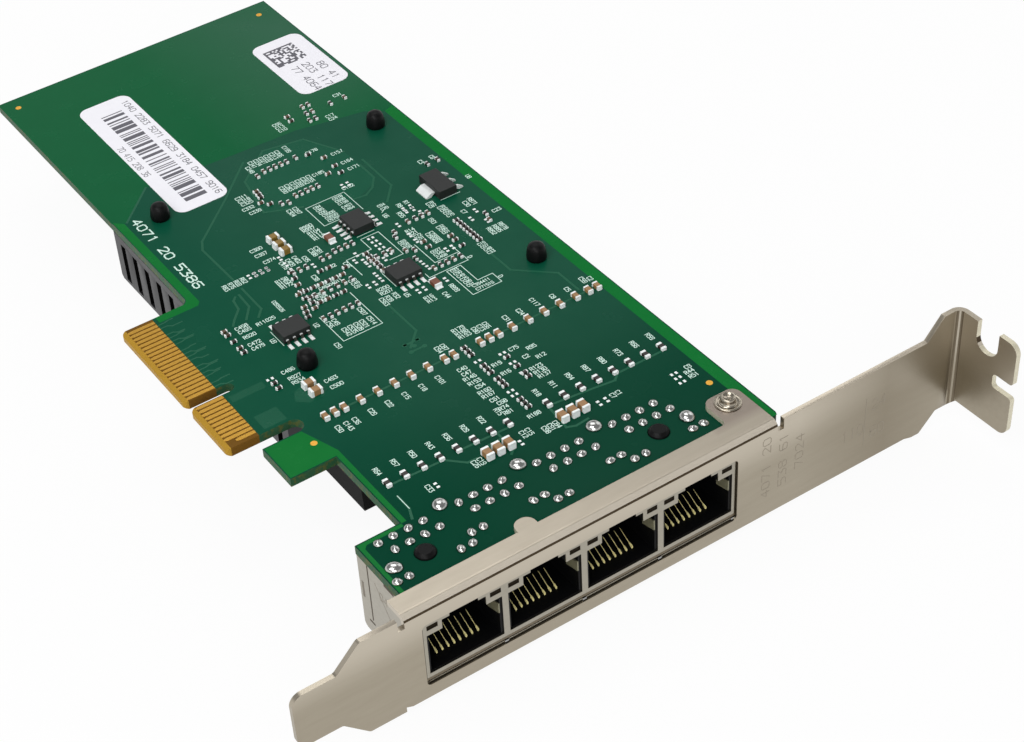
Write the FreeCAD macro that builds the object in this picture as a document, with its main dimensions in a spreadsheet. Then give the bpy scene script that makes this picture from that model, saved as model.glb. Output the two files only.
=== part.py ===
# Quad-port network interface card, solder side up, with a full-height mounting bracket.
# Frame: origin at the edge connector's key notch, on the tips of the contacts and in the
# middle of the board's thickness. +X points out through the bracket, +Y from the edge
# connector to the board's top edge, +Z out of the solder side. Lengths are in millimetres.
import FreeCAD, Part
import math
import os
import Sketcher
from FreeCAD import Vector

doc = FreeCAD.newDocument("network_interface_card")
sheet = doc.addObject("Spreadsheet::Sheet", "Sizes")

# name, value, what it is
sizes = [
    ("board_thickness", 1.57, "printed board, copper to copper"),
    ("board_reach", 97.6, "key notch to the board's far end"),
    ("board_near_x", 56.4, "key notch to the board's edge behind the bracket"),
    ("board_height", 69.8, "contact tips to the board's top edge"),
    ("board_lower_y", 12.45, "contact tips to the board's main lower edge"),
    ("board_corner_radius", 1.0, "outer corners of the board"),
    ("contact_pitch", 1.0, "edge contacts, centre to centre"),
    ("contact_width", 0.7, "one edge contact"),
    ("contact_tail_width", 0.42, "narrow lower end of an edge contact"),
    ("contact_tail_length", 0.5, "narrowing end of an edge contact"),
    ("contact_top", 5.6, "tongue's tip to the upper end of the contacts"),
    ("contact_short_step", 1.5, "presence-detect contact, shorter than the others"),
    ("contact_copper", 0.05, "plated copper of a contact"),
    ("short_contacts", 11, "contacts between the notch and the bracket"),
    ("long_contacts", 21, "contacts beyond the notch"),
    ("key_half_gap", 1.5, "notch centre to the centre of the first contact"),
    ("key_width", 1.9, "key notch"),
    ("key_depth", 8.25, "key notch, from the tips"),
    ("tongue_margin", 1.1, "last contact's centre to the end of its section"),
    ("tongue_bevel_height", 0.78, "bevel of the tongue"),
    ("tongue_bevel_depth", 0.3, "bevel of the tongue, into each face"),
    ("tongue_corner_radius", 0.9, "lower corners of the tongue"),
    ("tab_near_x", 15.65, "key notch to the near side of the retaining tab"),
    ("tab_width", 8.3, "retaining tab beside the tongue"),
    ("tab_bottom_y", 4.5, "contact tips to the tab's lower edge"),
    ("jack_land_x", 41.5, "key notch to the step of the board at the jack"),
    ("jack_land_y", 4.83, "contact tips to the lower edge of the board at the jack"),
    ("bracket_sheet", 0.86, "bracket steel"),
    ("bracket_face_x", 58.33, "key notch to the bracket's outer face"),
    ("bracket_length", 120.2, "tongue's end to the top of the bent tab"),
    ("bracket_bottom_y", -16.1, "contact tips to the end of the bracket's tongue"),
    ("bracket_width", 18.42, "bracket plate"),
    ("bracket_tongue_width", 10.19, "bracket tongue"),
    ("bracket_tongue_length", 7.2, "straight part of the bracket tongue"),
    ("bracket_tongue_radius", 2.0, "corners at the end of the tongue"),
    ("bracket_shoulder_radius", 0.8, "corners where the tongue widens to the plate"),
    ("bracket_taper", 4.1, "slope between tongue and plate"),
    ("bracket_edge_relief", 0.45, "shallow step of the plate's free long edge"),
    ("bracket_head_width", 18.9, "bent tab, along the bend"),
    ("bracket_head_rise", 3.6, "bent tab's side over the plate's flange edge"),
    ("bracket_head_length", 3.9, "straight part of the plate below the bent tab"),
    ("bracket_head_slope", 3.1, "slope between plate and bent tab"),
    ("bracket_tab_depth", 11.9, "bent tab, from the outer face"),
    ("bracket_tab_step", 1.2, "bent tab's lower side over the plate's lower side at the bend"),
    ("bracket_tab_bend", 1.0, "inside of the bend to the bent tab"),
    ("bracket_tab_radius", 1.8, "outer corners of the bent tab"),
    ("screw_slot_width", 4.4, "screw slot of the bent tab"),
    ("screw_slot_depth", 5.0, "screw slot of the bent tab"),
    ("screw_slot_reach", 6.0, "outer face to the centre of the screw slot"),
    ("guide_slot_width", 2.6, "slot in the free end of the bent tab"),
    ("guide_slot_depth", 4.0, "slot in the free end of the bent tab"),
    ("guide_slot_corner", 0.6, "corners at the mouth of the guide slot"),
    ("guide_slot_drop", 8.8, "bent tab's upper side to the middle of the guide slot"),
    ("bend_inner_radius", 0.45, "inside of the flange's bend"),
    ("flange_start_y", 2.4, "contact tips to the lower end of the flange"),
    ("flange_length", 65.6, "flange along the board"),
    ("flange_width", 4.33, "flange, from the outer face"),
    ("flange_ear_reach", 10.2, "flange at its ear, from the outer face"),
    ("flange_ear_width", 6.2, "ear, along the board"),
    ("flange_ear_radius", 1.6, "corners of the ear"),
    ("flange_tab_y", 26.1, "contact tips to the middle of the small flange tab"),
    ("flange_tab_width", 3.4, "small flange tab"),
    ("flange_tab_reach", 2.1, "small flange tab beyond the flange"),
    ("bend_relief_width", 1.1, "notch at each end of the flange's bend"),
    ("bend_relief_depth", 1.9, "notch at each end of the flange's bend"),
    ("rivet_setback", 7.8, "outer face to the rivet's axis"),
    ("rivet_shank_radius", 1.5, "rivet"),
    ("rivet_flange_radius", 2.4, "rivet"),
    ("rivet_flange_height", 0.35, "rivet"),
    ("rivet_boss_radius", 1.45, "raised end of the rivet"),
    ("rivet_boss_height", 1.0, "raised end of the rivet, over its flange"),
    ("rivet_socket_radius", 0.85, "recess in the rivet's end"),
    ("rivet_socket_depth", 0.6, "recess in the rivet's end"),
    ("hole_clearance", 0.1, "radial play of pins and rivet in their holes"),
    ("first_port_y", 12.2, "contact tips to the first port's centre"),
    ("port_pitch", 13.75, "ports, centre to centre"),
    ("port_count", 4, "ports"),
    ("jack_rear_x", 41.65, "key notch to the back of the jack"),
    ("jack_height", 14.4, "jack, below the board"),
    ("jack_side_margin", 7.35, "outer port's centre to the jack's side"),
    ("jack_standoff", 0.05, "board to the jack"),
    ("jack_bracket_gap", 0.15, "bracket plate to the jack behind it"),
    ("shield_sheet", 0.25, "jack shield"),
    ("can_rear_radius", 1.0, "jack's lower edge at the back"),
    ("nose_margin", 6.9, "outer port's centre to the side of the jack's nose"),
    ("nose_top_drop", 1.2, "board's component side to the top of the nose"),
    ("nose_bottom_drop", 12.5, "board's component side to the bottom of the nose"),
    ("nose_recess", 0.35, "bracket's outer face to the front of the nose"),
    ("opening_gap", 0.25, "nose to the edge of the bracket's opening"),
    ("opening_bottom_gap", 0.65, "nose to the opening's lower edge, over the spring strip"),
    ("opening_radius", 0.75, "corners of the bracket's opening"),
    ("spring_strip_height", 0.28, "spring strip below the nose"),
    ("spring_strip_gap", 0.17, "nose to spring strip"),
    ("window_half_width", 6.35, "port window in the shield, either side of its centre"),
    ("window_bottom_drop", 11.28, "board's component side to the window's floor"),
    ("window_shoulder_drop", 3.58, "board's component side to the window's shoulders"),
    ("latch_shelf_half", 3.7, "latch cut-out, lower step"),
    ("latch_shelf_drop", 1.88, "board's component side to the latch cut-out's step"),
    ("latch_half", 2.4, "latch cut-out, upper step"),
    ("led_window_inner", 4.4, "port centre to the indicator window"),
    ("led_window_width", 1.85, "indicator window"),
    ("led_window_height", 0.9, "indicator window"),
    ("led_window_drop", 1.72, "board's component side to the top of the indicator window"),
    ("cavity_half_width", 5.95, "plug cavity in the housing"),
    ("cavity_depth", 12.0, "plug cavity in the housing"),
    ("cavity_floor_drop", 11.1, "board's component side to the cavity's floor"),
    ("peg_radius", 1.6, "locating peg"),
    ("peg_rise", 0.7, "locating peg beyond the solder side"),
    ("peg_chamfer", 0.3, "locating peg"),
    ("peg_setback", 9.65, "outer face to the locating pegs"),
    ("wire_width", 0.36, "contact wire"),
    ("wire_thickness", 0.3, "contact wire"),
    ("wire_pitch", 1.02, "contact wires, centre to centre"),
    ("wire_rise", 2.2, "contact wire's rise to the back of the cavity"),
    ("wire_setback", 2.8, "nose's front to the tips of the contact wires"),
    ("pin_pitch", 1.27, "solder pins, centre to centre, in two staggered rows"),
    ("pin_row_x", 43.2, "key notch to the rear row of solder pins"),
    ("pin_row_gap", 2.45, "rear row to front row"),
    ("led_pin_inner", 4.35, "port centre to the inner indicator pin"),
    ("led_pin_outer", 6.35, "port centre to the outer indicator pin"),
    ("led_pin_front", 7.1, "outer face to the front row of indicator pins"),
    ("led_pin_rear", 8.95, "outer face to the rear row of indicator pins"),
    ("joint_radius", 0.78, "foot of a solder joint"),
    ("joint_tip_radius", 0.34, "tip of a solder joint"),
    ("joint_height", 0.95, "solder joint"),
    ("post_joint_radius", 1.45, "solder joint of a shield post"),
    ("post_joint_height", 1.3, "solder joint of a shield post"),
    ("post_rear_x", 41.9, "key notch to the shield posts between the ports"),
    ("post_side_x", 48.65, "key notch to the shield posts at the sides"),
    ("post_side_margin", 5.25, "outer port's centre to the side posts"),
    ("sink_module_gap", 7.0, "heatsink's near end to the modules"),
    ("module_length", 14.7, "transformer module, along X"),
    ("module_width", 12.9, "transformer module, along Y"),
    ("module_pitch", 13.9, "transformer modules, centre to centre"),
    ("module_start_y", 12.9, "contact tips to the first module"),
    ("module_height", 5.55, "transformer module"),
    ("module_standoff", 0.1, "board to a module"),
    ("module_parting", 0.85, "module's board side to its parting line"),
    ("module_draft", 0.22, "draft of a module, on each side"),
    ("module_leads", 12, "leads on each side of a module"),
    ("module_lead_pitch", 1.0, "module leads"),
    ("lead_width", 0.42, "chip and module leads"),
    ("lead_sheet", 0.2, "chip and module leads"),
    ("module_lead_reach", 1.3, "module lead, from the body"),
    ("push_pin_near_margin", 5.2, "heatsink's near end to the push pins"),
    ("push_pin_far_margin", 4.1, "heatsink's far end to the push pins"),
    ("push_pin_low_margin", 7.45, "heatsink's lower side to the push pins"),
    ("push_pin_high_margin", 5.7, "heatsink's upper side to the push pins"),
    ("push_pin_radius", 1.5, "push pin's shank"),
    ("push_pin_barb_radius", 1.85, "push pin's barb on the solder side"),
    ("push_pin_rise", 3.0, "push pin beyond the solder side"),
    ("push_pin_head_radius", 3.2, "push pin's head"),
    ("push_pin_head_height", 1.2, "push pin's head"),
    ("sink_far_x", 50.65, "key notch to the heatsink's far side"),
    ("sink_length", 58.9, "heatsink, along X"),
    ("sink_edge", 0.05, "board's lower edge to the heatsink's side"),
    ("sink_top_margin", 0.3, "board's top edge to the heatsink's side"),
    ("sink_gap", 0.2, "board to the heatsink's rim"),
    ("sink_height", 9.95, "heatsink"),
    ("sink_chamfer", 0.6, "lower corner of the heatsink's ends"),
    ("sink_slots", 13, "heatsink slots"),
    ("sink_slot_width", 1.3, "heatsink slot"),
    ("sink_slot_margin", 2.46, "heatsink's ends to the outer slots"),
    ("sink_slot_top", 1.5, "rim to the top of a side slot"),
    ("sink_slot_floor", 0.7, "below a side slot"),
    ("sink_wall", 4.0, "side wall of the heatsink"),
    ("sink_base", 1.7, "heatsink between its pocket and the fins"),
    ("sink_pocket_side", 34.0, "pocket over the controller"),
    ("sink_pin_bore_radius", 4.3, "counterbore round a push pin"),
    ("sink_pin_floor", 2.6, "rim to the floor of a push pin's counterbore"),
    ("chip_side", 25.0, "controller carrier"),
    ("chip_carrier_height", 1.1, "controller carrier with its solder balls"),
    ("chip_cap_side", 20.5, "moulded top of the controller"),
    ("chip_cap_height", 0.9, "moulded top of the controller"),
    ("chip_corner", 1.0, "bevelled corner that marks the controller's first contact"),
    ("pad_thickness", 0.4, "thermal pad"),
    ("spring_wire", 0.55, "push pin spring"),
    ("spring_radius", 2.3, "push pin spring, to the middle of the wire"),
    ("spring_turns", 3, "push pin spring"),
    ("memory_length", 4.9, "eight-lead chip, along its lead rows"),
    ("memory_width", 3.9, "eight-lead chip, across its lead rows"),
    ("memory_height", 1.5, "eight-lead chip"),
    ("memory_lead_pitch", 1.27, "eight-lead chip"),
    ("memory_lead_reach", 1.05, "eight-lead chip's lead, from the body"),
    ("regulator_length", 6.5, "regulator, along its lead row"),
    ("regulator_width", 3.5, "regulator, across"),
    ("regulator_height", 1.65, "regulator"),
    ("regulator_lead_pitch", 2.3, "regulator"),
    ("regulator_lead_reach", 1.75, "regulator's leads and tab, from the body"),
    ("fit_gap", 0.03, "play between pieces that sit against each other"),
    ("chip_row_low_margin", 2.9, "board's lower edge to the first termination resistor"),
    ("chip_row_high_margin", 4.2, "last termination resistor to the board's top edge"),
    ("chip_row_gap", 7.2, "between the two runs of termination resistors"),
    ("chip_close_pitch", 1.7, "capacitors in a close run"),
    ("chip_part_length", 1.6, "small chip part with its end caps"),
    ("chip_part_width", 0.85, "small chip part"),
    ("chip_part_height", 0.7, "small chip part"),
    ("bulk_part_length", 2.0, "larger chip capacitor"),
    ("bulk_part_width", 1.25, "larger chip capacitor"),
    ("bulk_part_height", 1.1, "larger chip capacitor"),
    ("bulk_pitch", 1.9, "bulk capacitors by the jack"),
    ("bulk_upright_pitch", 2.1, "bulk capacitors that stand side by side"),
    ("line_cap_x", 15.5, "key notch to the row of line capacitors"),
    ("termination_x", 33.65, "key notch to the row of termination resistors"),
    ("bulk_cap_x", 37.6, "key notch to the bulk capacitors by the jack"),
    ("inductor_side", 6.6, "power inductor"),
    ("inductor_height", 3.0, "power inductor"),
    ("inductor_inset", 12.6, "board's far end to the power inductors"),
    ("crystal_inset", 35.6, "board's far end to the clock crystal"),
    ("supply_inset", 20.1, "board's far end to the supply capacitors"),
    ("crystal_length", 5.0, "clock crystal"),
    ("crystal_width", 3.2, "clock crystal"),
    ("crystal_height", 1.1, "clock crystal"),
    ("label_thickness", 0.08, "paper label"),
    ("label_length", 40.4, "large label"),
    ("label_width", 10.3, "large label"),
    ("label_far_x", 85.5, "key notch to the large label's far end"),
    ("label_margin", 10.35, "board's lower edge to the large label"),
    ("label_radius", 2.0, "corners of the large label"),
    ("code_label_length", 20.3, "code label"),
    ("code_label_width", 10.5, "code label"),
    ("code_label_far_x", 83.4, "key notch to the code label's far end"),
    ("code_label_margin", 0.85, "code label to the board's top edge"),
    ("code_label_radius", 2.0, "corners of the code label"),
]
for row, (name, value, note) in enumerate(sizes, start=1):
    sheet.set("A%d" % row, name)
    sheet.set("B%d" % row, str(value))
    sheet.set("C%d" % row, note)
    sheet.setAlias("B%d" % row, name)
doc.recompute()


class Size:
    """A length with its number and the sheet expression that it comes from."""

    def __init__(self, number, text):
        self.number = float(number)
        self.text = text

    def __float__(self):
        return self.number

    def __int__(self):
        return int(round(self.number))

    def __add__(self, other):
        other = as_size(other)
        return Size(self.number + other.number, "(%s + %s)" % (self.text, other.text))

    def __sub__(self, other):
        other = as_size(other)
        return Size(self.number - other.number, "(%s - %s)" % (self.text, other.text))

    def __mul__(self, other):
        other = as_size(other)
        return Size(self.number * other.number, "(%s * %s)" % (self.text, other.text))

    def __truediv__(self, other):
        other = as_size(other)
        return Size(self.number / other.number, "(%s / %s)" % (self.text, other.text))

    def __neg__(self):
        return Size(-self.number, "(-1 * %s)" % self.text)

    def __radd__(self, other):
        return as_size(other) + self

    def __rsub__(self, other):
        return as_size(other) - self

    def __rmul__(self, other):
        return as_size(other) * self


def as_size(value):
    return value if isinstance(value, Size) else Size(value, "(%r)" % float(value))


class SheetSizes:
    """Reads a size from the sheet by its name."""

    def __getattr__(self, name):
        return Size(sheet.get(name), "Sizes." + name)


s = SheetSizes()


def bind(obj, prop, value):
    """Sets a property, and binds it to the sheet where its value comes from there."""
    value = as_size(value)
    if "Sizes." in value.text:
        obj.setExpression(prop, value.text)
    else:
        setattr(obj, prop, value.number)


def new_body(label):
    body = doc.addObject("PartDesign::Body", label)
    body.Label = label
    return body


def origin_feature(body, role):
    return [f for f in body.Origin.OriginFeatures if f.Role == role][0]


def new_sketch(body, name, plane, height=0.0):
    """A sketch on one of the body's origin planes, moved along the plane's normal."""
    sketch = body.newObject("Sketcher::SketchObject", name)
    sketch.AttachmentSupport = [(origin_feature(body, plane), "")]
    sketch.MapMode = "FlatFace"
    height = as_size(height)
    sketch.AttachmentOffset = FreeCAD.Placement(Vector(0, 0, height.number), FreeCAD.Rotation())
    if "Sizes." in height.text:
        sketch.setExpression("AttachmentOffset.Base.z", height.text)
    return sketch


def fix_point(sketch, geometry, position, u, v):
    """Holds a sketch point at (u, v) from the sketch's origin."""
    for kind, value in (("DistanceX", as_size(u)), ("DistanceY", as_size(v))):
        index = sketch.addConstraint(
            Sketcher.Constraint(kind, -1, 1, geometry, position, value.number))
        if "Sizes." in value.text:
            sketch.setExpression("Constraints[%d]" % index, value.text)


def polygon(sketch, points):
    """A closed outline whose corners are held at the given places."""
    places = [Vector(float(u), float(v), 0) for u, v in points]
    first = sketch.GeometryCount
    count = len(places)
    for i in range(count):
        sketch.addGeometry(Part.LineSegment(places[i], places[(i + 1) % count]), False)
    for i in range(count):
        following = first + (i + 1) % count
        sketch.addConstraint(Sketcher.Constraint("Coincident", first + i, 2, following, 1))
    for i, (u, v) in enumerate(points):
        fix_point(sketch, first + i, 1, u, v)


def rectangle(sketch, u0, v0, u1, v1):
    polygon(sketch, [(u0, v0), (u1, v0), (u1, v1), (u0, v1)])


def circle(sketch, u, v, radius):
    radius = as_size(radius)
    centre = Vector(float(u), float(v), 0)
    index = sketch.addGeometry(Part.Circle(centre, Vector(0, 0, 1), radius.number), False)
    fix_point(sketch, index, 3, u, v)
    bound = sketch.addConstraint(Sketcher.Constraint("Radius", index, radius.number))
    if "Sizes." in radius.text:
        sketch.setExpression("Constraints[%d]" % bound, radius.text)


def pad(body, name, sketch, length, side="One side", backwards=False):
    feature = body.newObject("PartDesign::Pad", name)
    feature.Profile = sketch
    feature.SideType = side
    feature.Reversed = backwards
    bind(feature, "Length", length)
    sketch.Visibility = False
    doc.recompute()
    return feature


def pocket(body, name, sketch, length, side="One side", backwards=False):
    """Cuts the sketch out of the body; a pocket that cuts nothing is an error."""
    before = body.Shape.Volume
    feature = body.newObject("PartDesign::Pocket", name)
    feature.Profile = sketch
    feature.SideType = side
    feature.Reversed = backwards
    bind(feature, "Length", length)
    sketch.Visibility = False
    doc.recompute()
    if body.Shape.Volume > before - 1e-6:
        raise RuntimeError(name + " cuts nothing")
    return feature


def pattern(body, name, original, axis, pitch, count):
    feature = body.newObject("PartDesign::LinearPattern", name)
    feature.Originals = [original]
    feature.Direction = (origin_feature(body, axis), [""])
    feature.Mode = "Spacing"
    bind(feature, "Offset", pitch)
    bind(feature, "Occurrences", count)
    body.Tip = feature
    doc.recompute()
    return feature


def edges_through(shape, places):
    """Names of the edges that pass through one of the places."""
    names = []
    for number, edge in enumerate(shape.Edges, start=1):
        if any(edge.distToShape(Part.Vertex(place))[0] < 1e-5 for place in places):
            names.append("Edge%d" % number)
    return names


def dress(body, kind, name, places, prop, size):
    """A fillet or chamfer on the edges through the given places."""
    base = body.Tip
    names = edges_through(base.Shape, places)
    if len(names) != len(places):
        raise RuntimeError("%s finds %d edges" % (name, len(names)))
    dressing = body.newObject("PartDesign::" + kind, name)
    dressing.Base = (base, names)
    bind(dressing, prop, size)
    doc.recompute()
    if {"Invalid", "Error"} & set(dressing.State):
        raise RuntimeError(name + " does not compute")
    return dressing


def fillet(body, name, places, radius):
    return dress(body, "Fillet", name, places, "Radius", radius)


def chamfer(body, name, places, size):
    return dress(body, "Chamfer", name, places, "Size", size)


def vec(x, y, z):
    return Vector(float(x), float(y), float(z))


def block(x0, x1, y0, y1, z0, z1):
    """A box from its two corners."""
    return Part.makeBox(float(x1 - x0), float(y1 - y0), float(z1 - z0), vec(x0, y0, z0))


def ring_points(x, y, z, radius, sides):
    """Corners of a regular polygon in a level plane, with a flat towards X."""
    step = 2 * math.pi / sides
    turns = [(i + 0.5) * step for i in range(sides)]
    return [vec(x, y, z) + Vector(math.cos(turn), math.sin(turn), 0) * float(radius) for turn in turns]


def skinned(rings):
    """A solid whose flat-sided skin joins rings of points, from the lowest ring to the last."""
    faces = [Part.Face(Part.makePolygon(ring + ring[:1])) for ring in (rings[0][::-1], rings[-1])]
    for lower, upper in zip(rings, rings[1:]):
        for i in range(len(lower)):
            j = (i + 1) % len(lower)
            corners = [lower[i], lower[j], upper[j], upper[i], lower[i]]
            faces.append(Part.Face(Part.makePolygon(corners)))
    return Part.makeSolid(Part.makeShell(faces))


def faceted_cone(x, y, z0, z1, radius0, radius1, sides):
    """A many-sided stub that narrows upwards."""
    return skinned([ring_points(x, y, z0, radius0, sides), ring_points(x, y, z1, radius1, sides)])


def profile_xz(points, y0, width):
    """A profile in the XZ plane, drawn out along Y."""
    corners = [vec(x, y0, z) for x, z in points]
    face = Part.Face(Part.makePolygon(corners + corners[:1]))
    return face.extrude(vec(0, width, 0))


def feature(label, shape):
    """A piece, or a set of identical pieces, kept as one shape."""
    obj = doc.addObject("Part::Feature", label)
    obj.Label = label
    obj.Shape = shape
    obj.Placement = FreeCAD.Placement()
    return obj


def group(label, solids):
    return feature(label, Part.makeCompound(solids))


Z = Vector(0, 0, 1)

# Levels and places that several pieces share.
def up_board(share):
    """A height on the board, as a share of the way from its lower edge to its top edge."""
    return s.board_lower_y + share * (s.board_height - s.board_lower_y)


solder_face = s.board_thickness / 2
component_face = -s.board_thickness / 2
tongue_near_x = s.key_half_gap + (s.short_contacts - 1) * s.contact_pitch + s.tongue_margin
tongue_far_x = -(s.key_half_gap + (s.long_contacts - 1) * s.contact_pitch + s.tongue_margin)
tab_far_x = s.tab_near_x + s.tab_width
relief_radius = (s.tab_near_x - tongue_near_x) / 2
last_port_y = s.first_port_y + (s.port_count - 1) * s.port_pitch
sink_low_y = s.board_lower_y + s.sink_edge
sink_high_y = s.board_height - s.sink_top_margin
sink_near_x = s.sink_length - s.sink_far_x
controller_y = (sink_low_y + sink_high_y) / 2
push_pin_places = [(x, y)
                   for x in (s.push_pin_far_margin - s.sink_far_x, sink_near_x - s.push_pin_near_margin)
                   for y in (sink_low_y + s.push_pin_low_margin, sink_high_y - s.push_pin_high_margin)]
peg_places = [(s.bracket_face_x - s.peg_setback, y) for y in (s.first_port_y, last_port_y)]
flange_end_y = s.flange_start_y + s.flange_length
rivet_x = s.bracket_face_x - s.rivet_setback
rivet_y = flange_end_y - s.flange_ear_width / 2

# ---------------------------------------------------------------- circuit board
board = new_body("circuit_board")
outline = new_sketch(board, "board_outline", "XY_Plane")
polygon(outline, [
    (-s.board_reach, s.board_height),
    (-s.board_reach, s.board_lower_y),
    (tongue_far_x, s.board_lower_y),
    (tongue_far_x, 0.0),
    (-s.key_width / 2, 0.0),
    (-s.key_width / 2, s.key_depth),
    (s.key_width / 2, s.key_depth),
    (s.key_width / 2, 0.0),
    (tongue_near_x, 0.0),
    (tongue_near_x, s.board_lower_y),
    (s.tab_near_x, s.board_lower_y),
    (s.tab_near_x, s.tab_bottom_y),
    (tab_far_x, s.tab_bottom_y),
    (tab_far_x, s.board_lower_y),
    (s.jack_land_x, s.board_lower_y),
    (s.jack_land_x, s.jack_land_y),
    (s.board_near_x, s.jack_land_y),
    (s.board_near_x, s.board_height),
])
pad(board, "board_blank", outline, s.board_thickness, side="Symmetric")
holes = new_sketch(board, "board_hole_centres", "XY_Plane")
for x, y in push_pin_places:
    circle(holes, x, y, s.push_pin_radius + s.hole_clearance)
for x, y in peg_places:
    circle(holes, x, y, s.peg_radius + s.hole_clearance)
circle(holes, rivet_x, rivet_y, s.rivet_shank_radius + s.hole_clearance)
pocket(board, "board_holes", holes, s.board_thickness * 2, side="Symmetric")
bevel = new_sketch(board, "tongue_bevel_section", "YZ_Plane", tongue_far_x - 1)
for sign in (1, -1):
    polygon(bevel, [
        (-s.tongue_bevel_height, sign * (solder_face + s.tongue_bevel_depth)),
        (-s.tongue_bevel_height, sign * (solder_face - 2 * s.tongue_bevel_depth)),
        (s.tongue_bevel_height, sign * solder_face),
        (s.tongue_bevel_height, sign * (solder_face + s.tongue_bevel_depth)),
    ])
pocket(board, "tongue_bevel", bevel, tongue_near_x - tongue_far_x + 2, backwards=True)
fillet(board, "key_end", [vec(side * s.key_width / 2, s.key_depth, 0) for side in (1, -1)],
       s.key_width / 2 - 0.01)
fillet(board, "relief_end", [vec(tongue_near_x, s.board_lower_y, 0),
                                vec(s.tab_near_x, s.board_lower_y, 0)], relief_radius - 0.01)
fillet(board, "tongue_corners",
       [vec(x, 0, 0) for x in (tongue_far_x, -s.key_width / 2, s.key_width / 2, tongue_near_x)],
       s.tongue_corner_radius)
fillet(board, "inner_corners", [vec(tongue_far_x, s.board_lower_y, 0)],
       s.board_corner_radius * 1.5)
fillet(board, "outer_corners", [vec(s.board_near_x, s.board_height, 0)],
       s.board_corner_radius)

# ---------------------------------------------------------------- edge contacts
def contact_outline(x, lower):
    """Corners of one contact: a pad whose lower end narrows."""
    half = s.contact_width / 2
    tail = s.contact_tail_width / 2
    shoulder = lower + s.contact_tail_length
    return [(x - tail, lower), (x + tail, lower), (x + half, shoulder), (x + half, s.contact_top),
            (x - half, s.contact_top), (x - half, shoulder)]


def contact_row(label, level, upwards, short_ones):
    """The 32 contacts of one face; presence-detect contacts start higher up."""
    solids = []
    places = [s.key_half_gap + i * s.contact_pitch for i in range(int(s.short_contacts))]
    places += [-(s.key_half_gap + i * s.contact_pitch) for i in range(int(s.long_contacts))]
    for number, x in enumerate(places):
        lower = s.tongue_bevel_height + (s.contact_short_step if number in short_ones else 0.0)
        corners = [vec(u, v, level) for u, v in contact_outline(x, lower)]
        face = Part.Face(Part.makePolygon(corners + corners[:1]))
        solids.append(face.extrude(vec(0, 0, s.contact_copper if upwards else -s.contact_copper)))
    return group(label, solids)


last_short = int(s.short_contacts) - 1
last_long = int(s.short_contacts) + int(s.long_contacts) - 1
contact_row("edge_contacts_solder_side", solder_face, True, [last_short])
contact_row("edge_contacts_component_side", component_face, False, [last_long])

# ---------------------------------------------------------------- mounting bracket
flange_top = solder_face + s.bracket_sheet
plate_low = flange_top - s.bracket_width
plate_middle = flange_top - s.bracket_width / 2
bracket_top_y = s.bracket_bottom_y + s.bracket_length
tongue_half = s.bracket_tongue_width / 2
tongue_root_y = s.bracket_bottom_y + s.bracket_tongue_length
plate_start_y = tongue_root_y + s.bracket_taper
head_high = flange_top + s.bracket_head_rise
head_low = head_high - s.bracket_head_width
head_root_y = bracket_top_y - s.bracket_head_length
head_slope_y = head_root_y - s.bracket_head_slope
relief_low = flange_top - s.bend_relief_depth
shallow_low = plate_low + s.bracket_edge_relief
inner_face_x = s.bracket_face_x - s.bracket_sheet

bracket = new_body("mounting_bracket")
plate = new_sketch(bracket, "plate_outline", "YZ_Plane", inner_face_x)
polygon(plate, [
    (s.bracket_bottom_y, plate_middle - tongue_half),
    (tongue_root_y, plate_middle - tongue_half),
    (plate_start_y, plate_low),
    (s.flange_start_y - s.bend_relief_width, plate_low),
    (s.flange_start_y - s.bend_relief_width, shallow_low + s.bracket_edge_relief),
    (s.flange_start_y, shallow_low),
    (head_slope_y - s.bracket_head_slope, shallow_low),
    (head_slope_y - s.bracket_head_slope / 2, plate_low),
    (head_slope_y, plate_low),
    (head_root_y, head_low),
    (bracket_top_y, head_low),
    (bracket_top_y, head_high),
    (head_root_y, head_high),
    (head_slope_y, flange_top),
    (flange_end_y + s.bend_relief_width, flange_top),
    (flange_end_y + s.bend_relief_width, relief_low),
    (flange_end_y, relief_low),
    (flange_end_y, flange_top),
    (s.flange_start_y, flange_top),
    (s.flange_start_y, relief_low),
    (s.flange_start_y - s.bend_relief_width, relief_low),
    (s.flange_start_y - s.bend_relief_width, flange_top),
    (plate_start_y, flange_top),
    (tongue_root_y, plate_middle + tongue_half),
    (s.bracket_bottom_y, plate_middle + tongue_half),
])
pad(bracket, "plate", plate, s.bracket_sheet)

flange = new_sketch(bracket, "flange_outline", "XY_Plane", solder_face)
flange_x = s.bracket_face_x - s.flange_width
ear_x = s.bracket_face_x - s.flange_ear_reach
ear_start_y = flange_end_y - s.flange_ear_width
tab_half = s.flange_tab_width / 2
polygon(flange, [
    (s.bracket_face_x, s.flange_start_y),
    (s.bracket_face_x, flange_end_y),
    (ear_x, flange_end_y),
    (ear_x, ear_start_y),
    (flange_x, ear_start_y),
    (flange_x, s.flange_tab_y + tab_half),
    (flange_x - s.flange_tab_reach, s.flange_tab_y + tab_half),
    (flange_x - s.flange_tab_reach, s.flange_tab_y - tab_half),
    (flange_x, s.flange_tab_y - tab_half),
    (flange_x, s.flange_start_y),
])
pad(bracket, "flange", flange, s.bracket_sheet)

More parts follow.
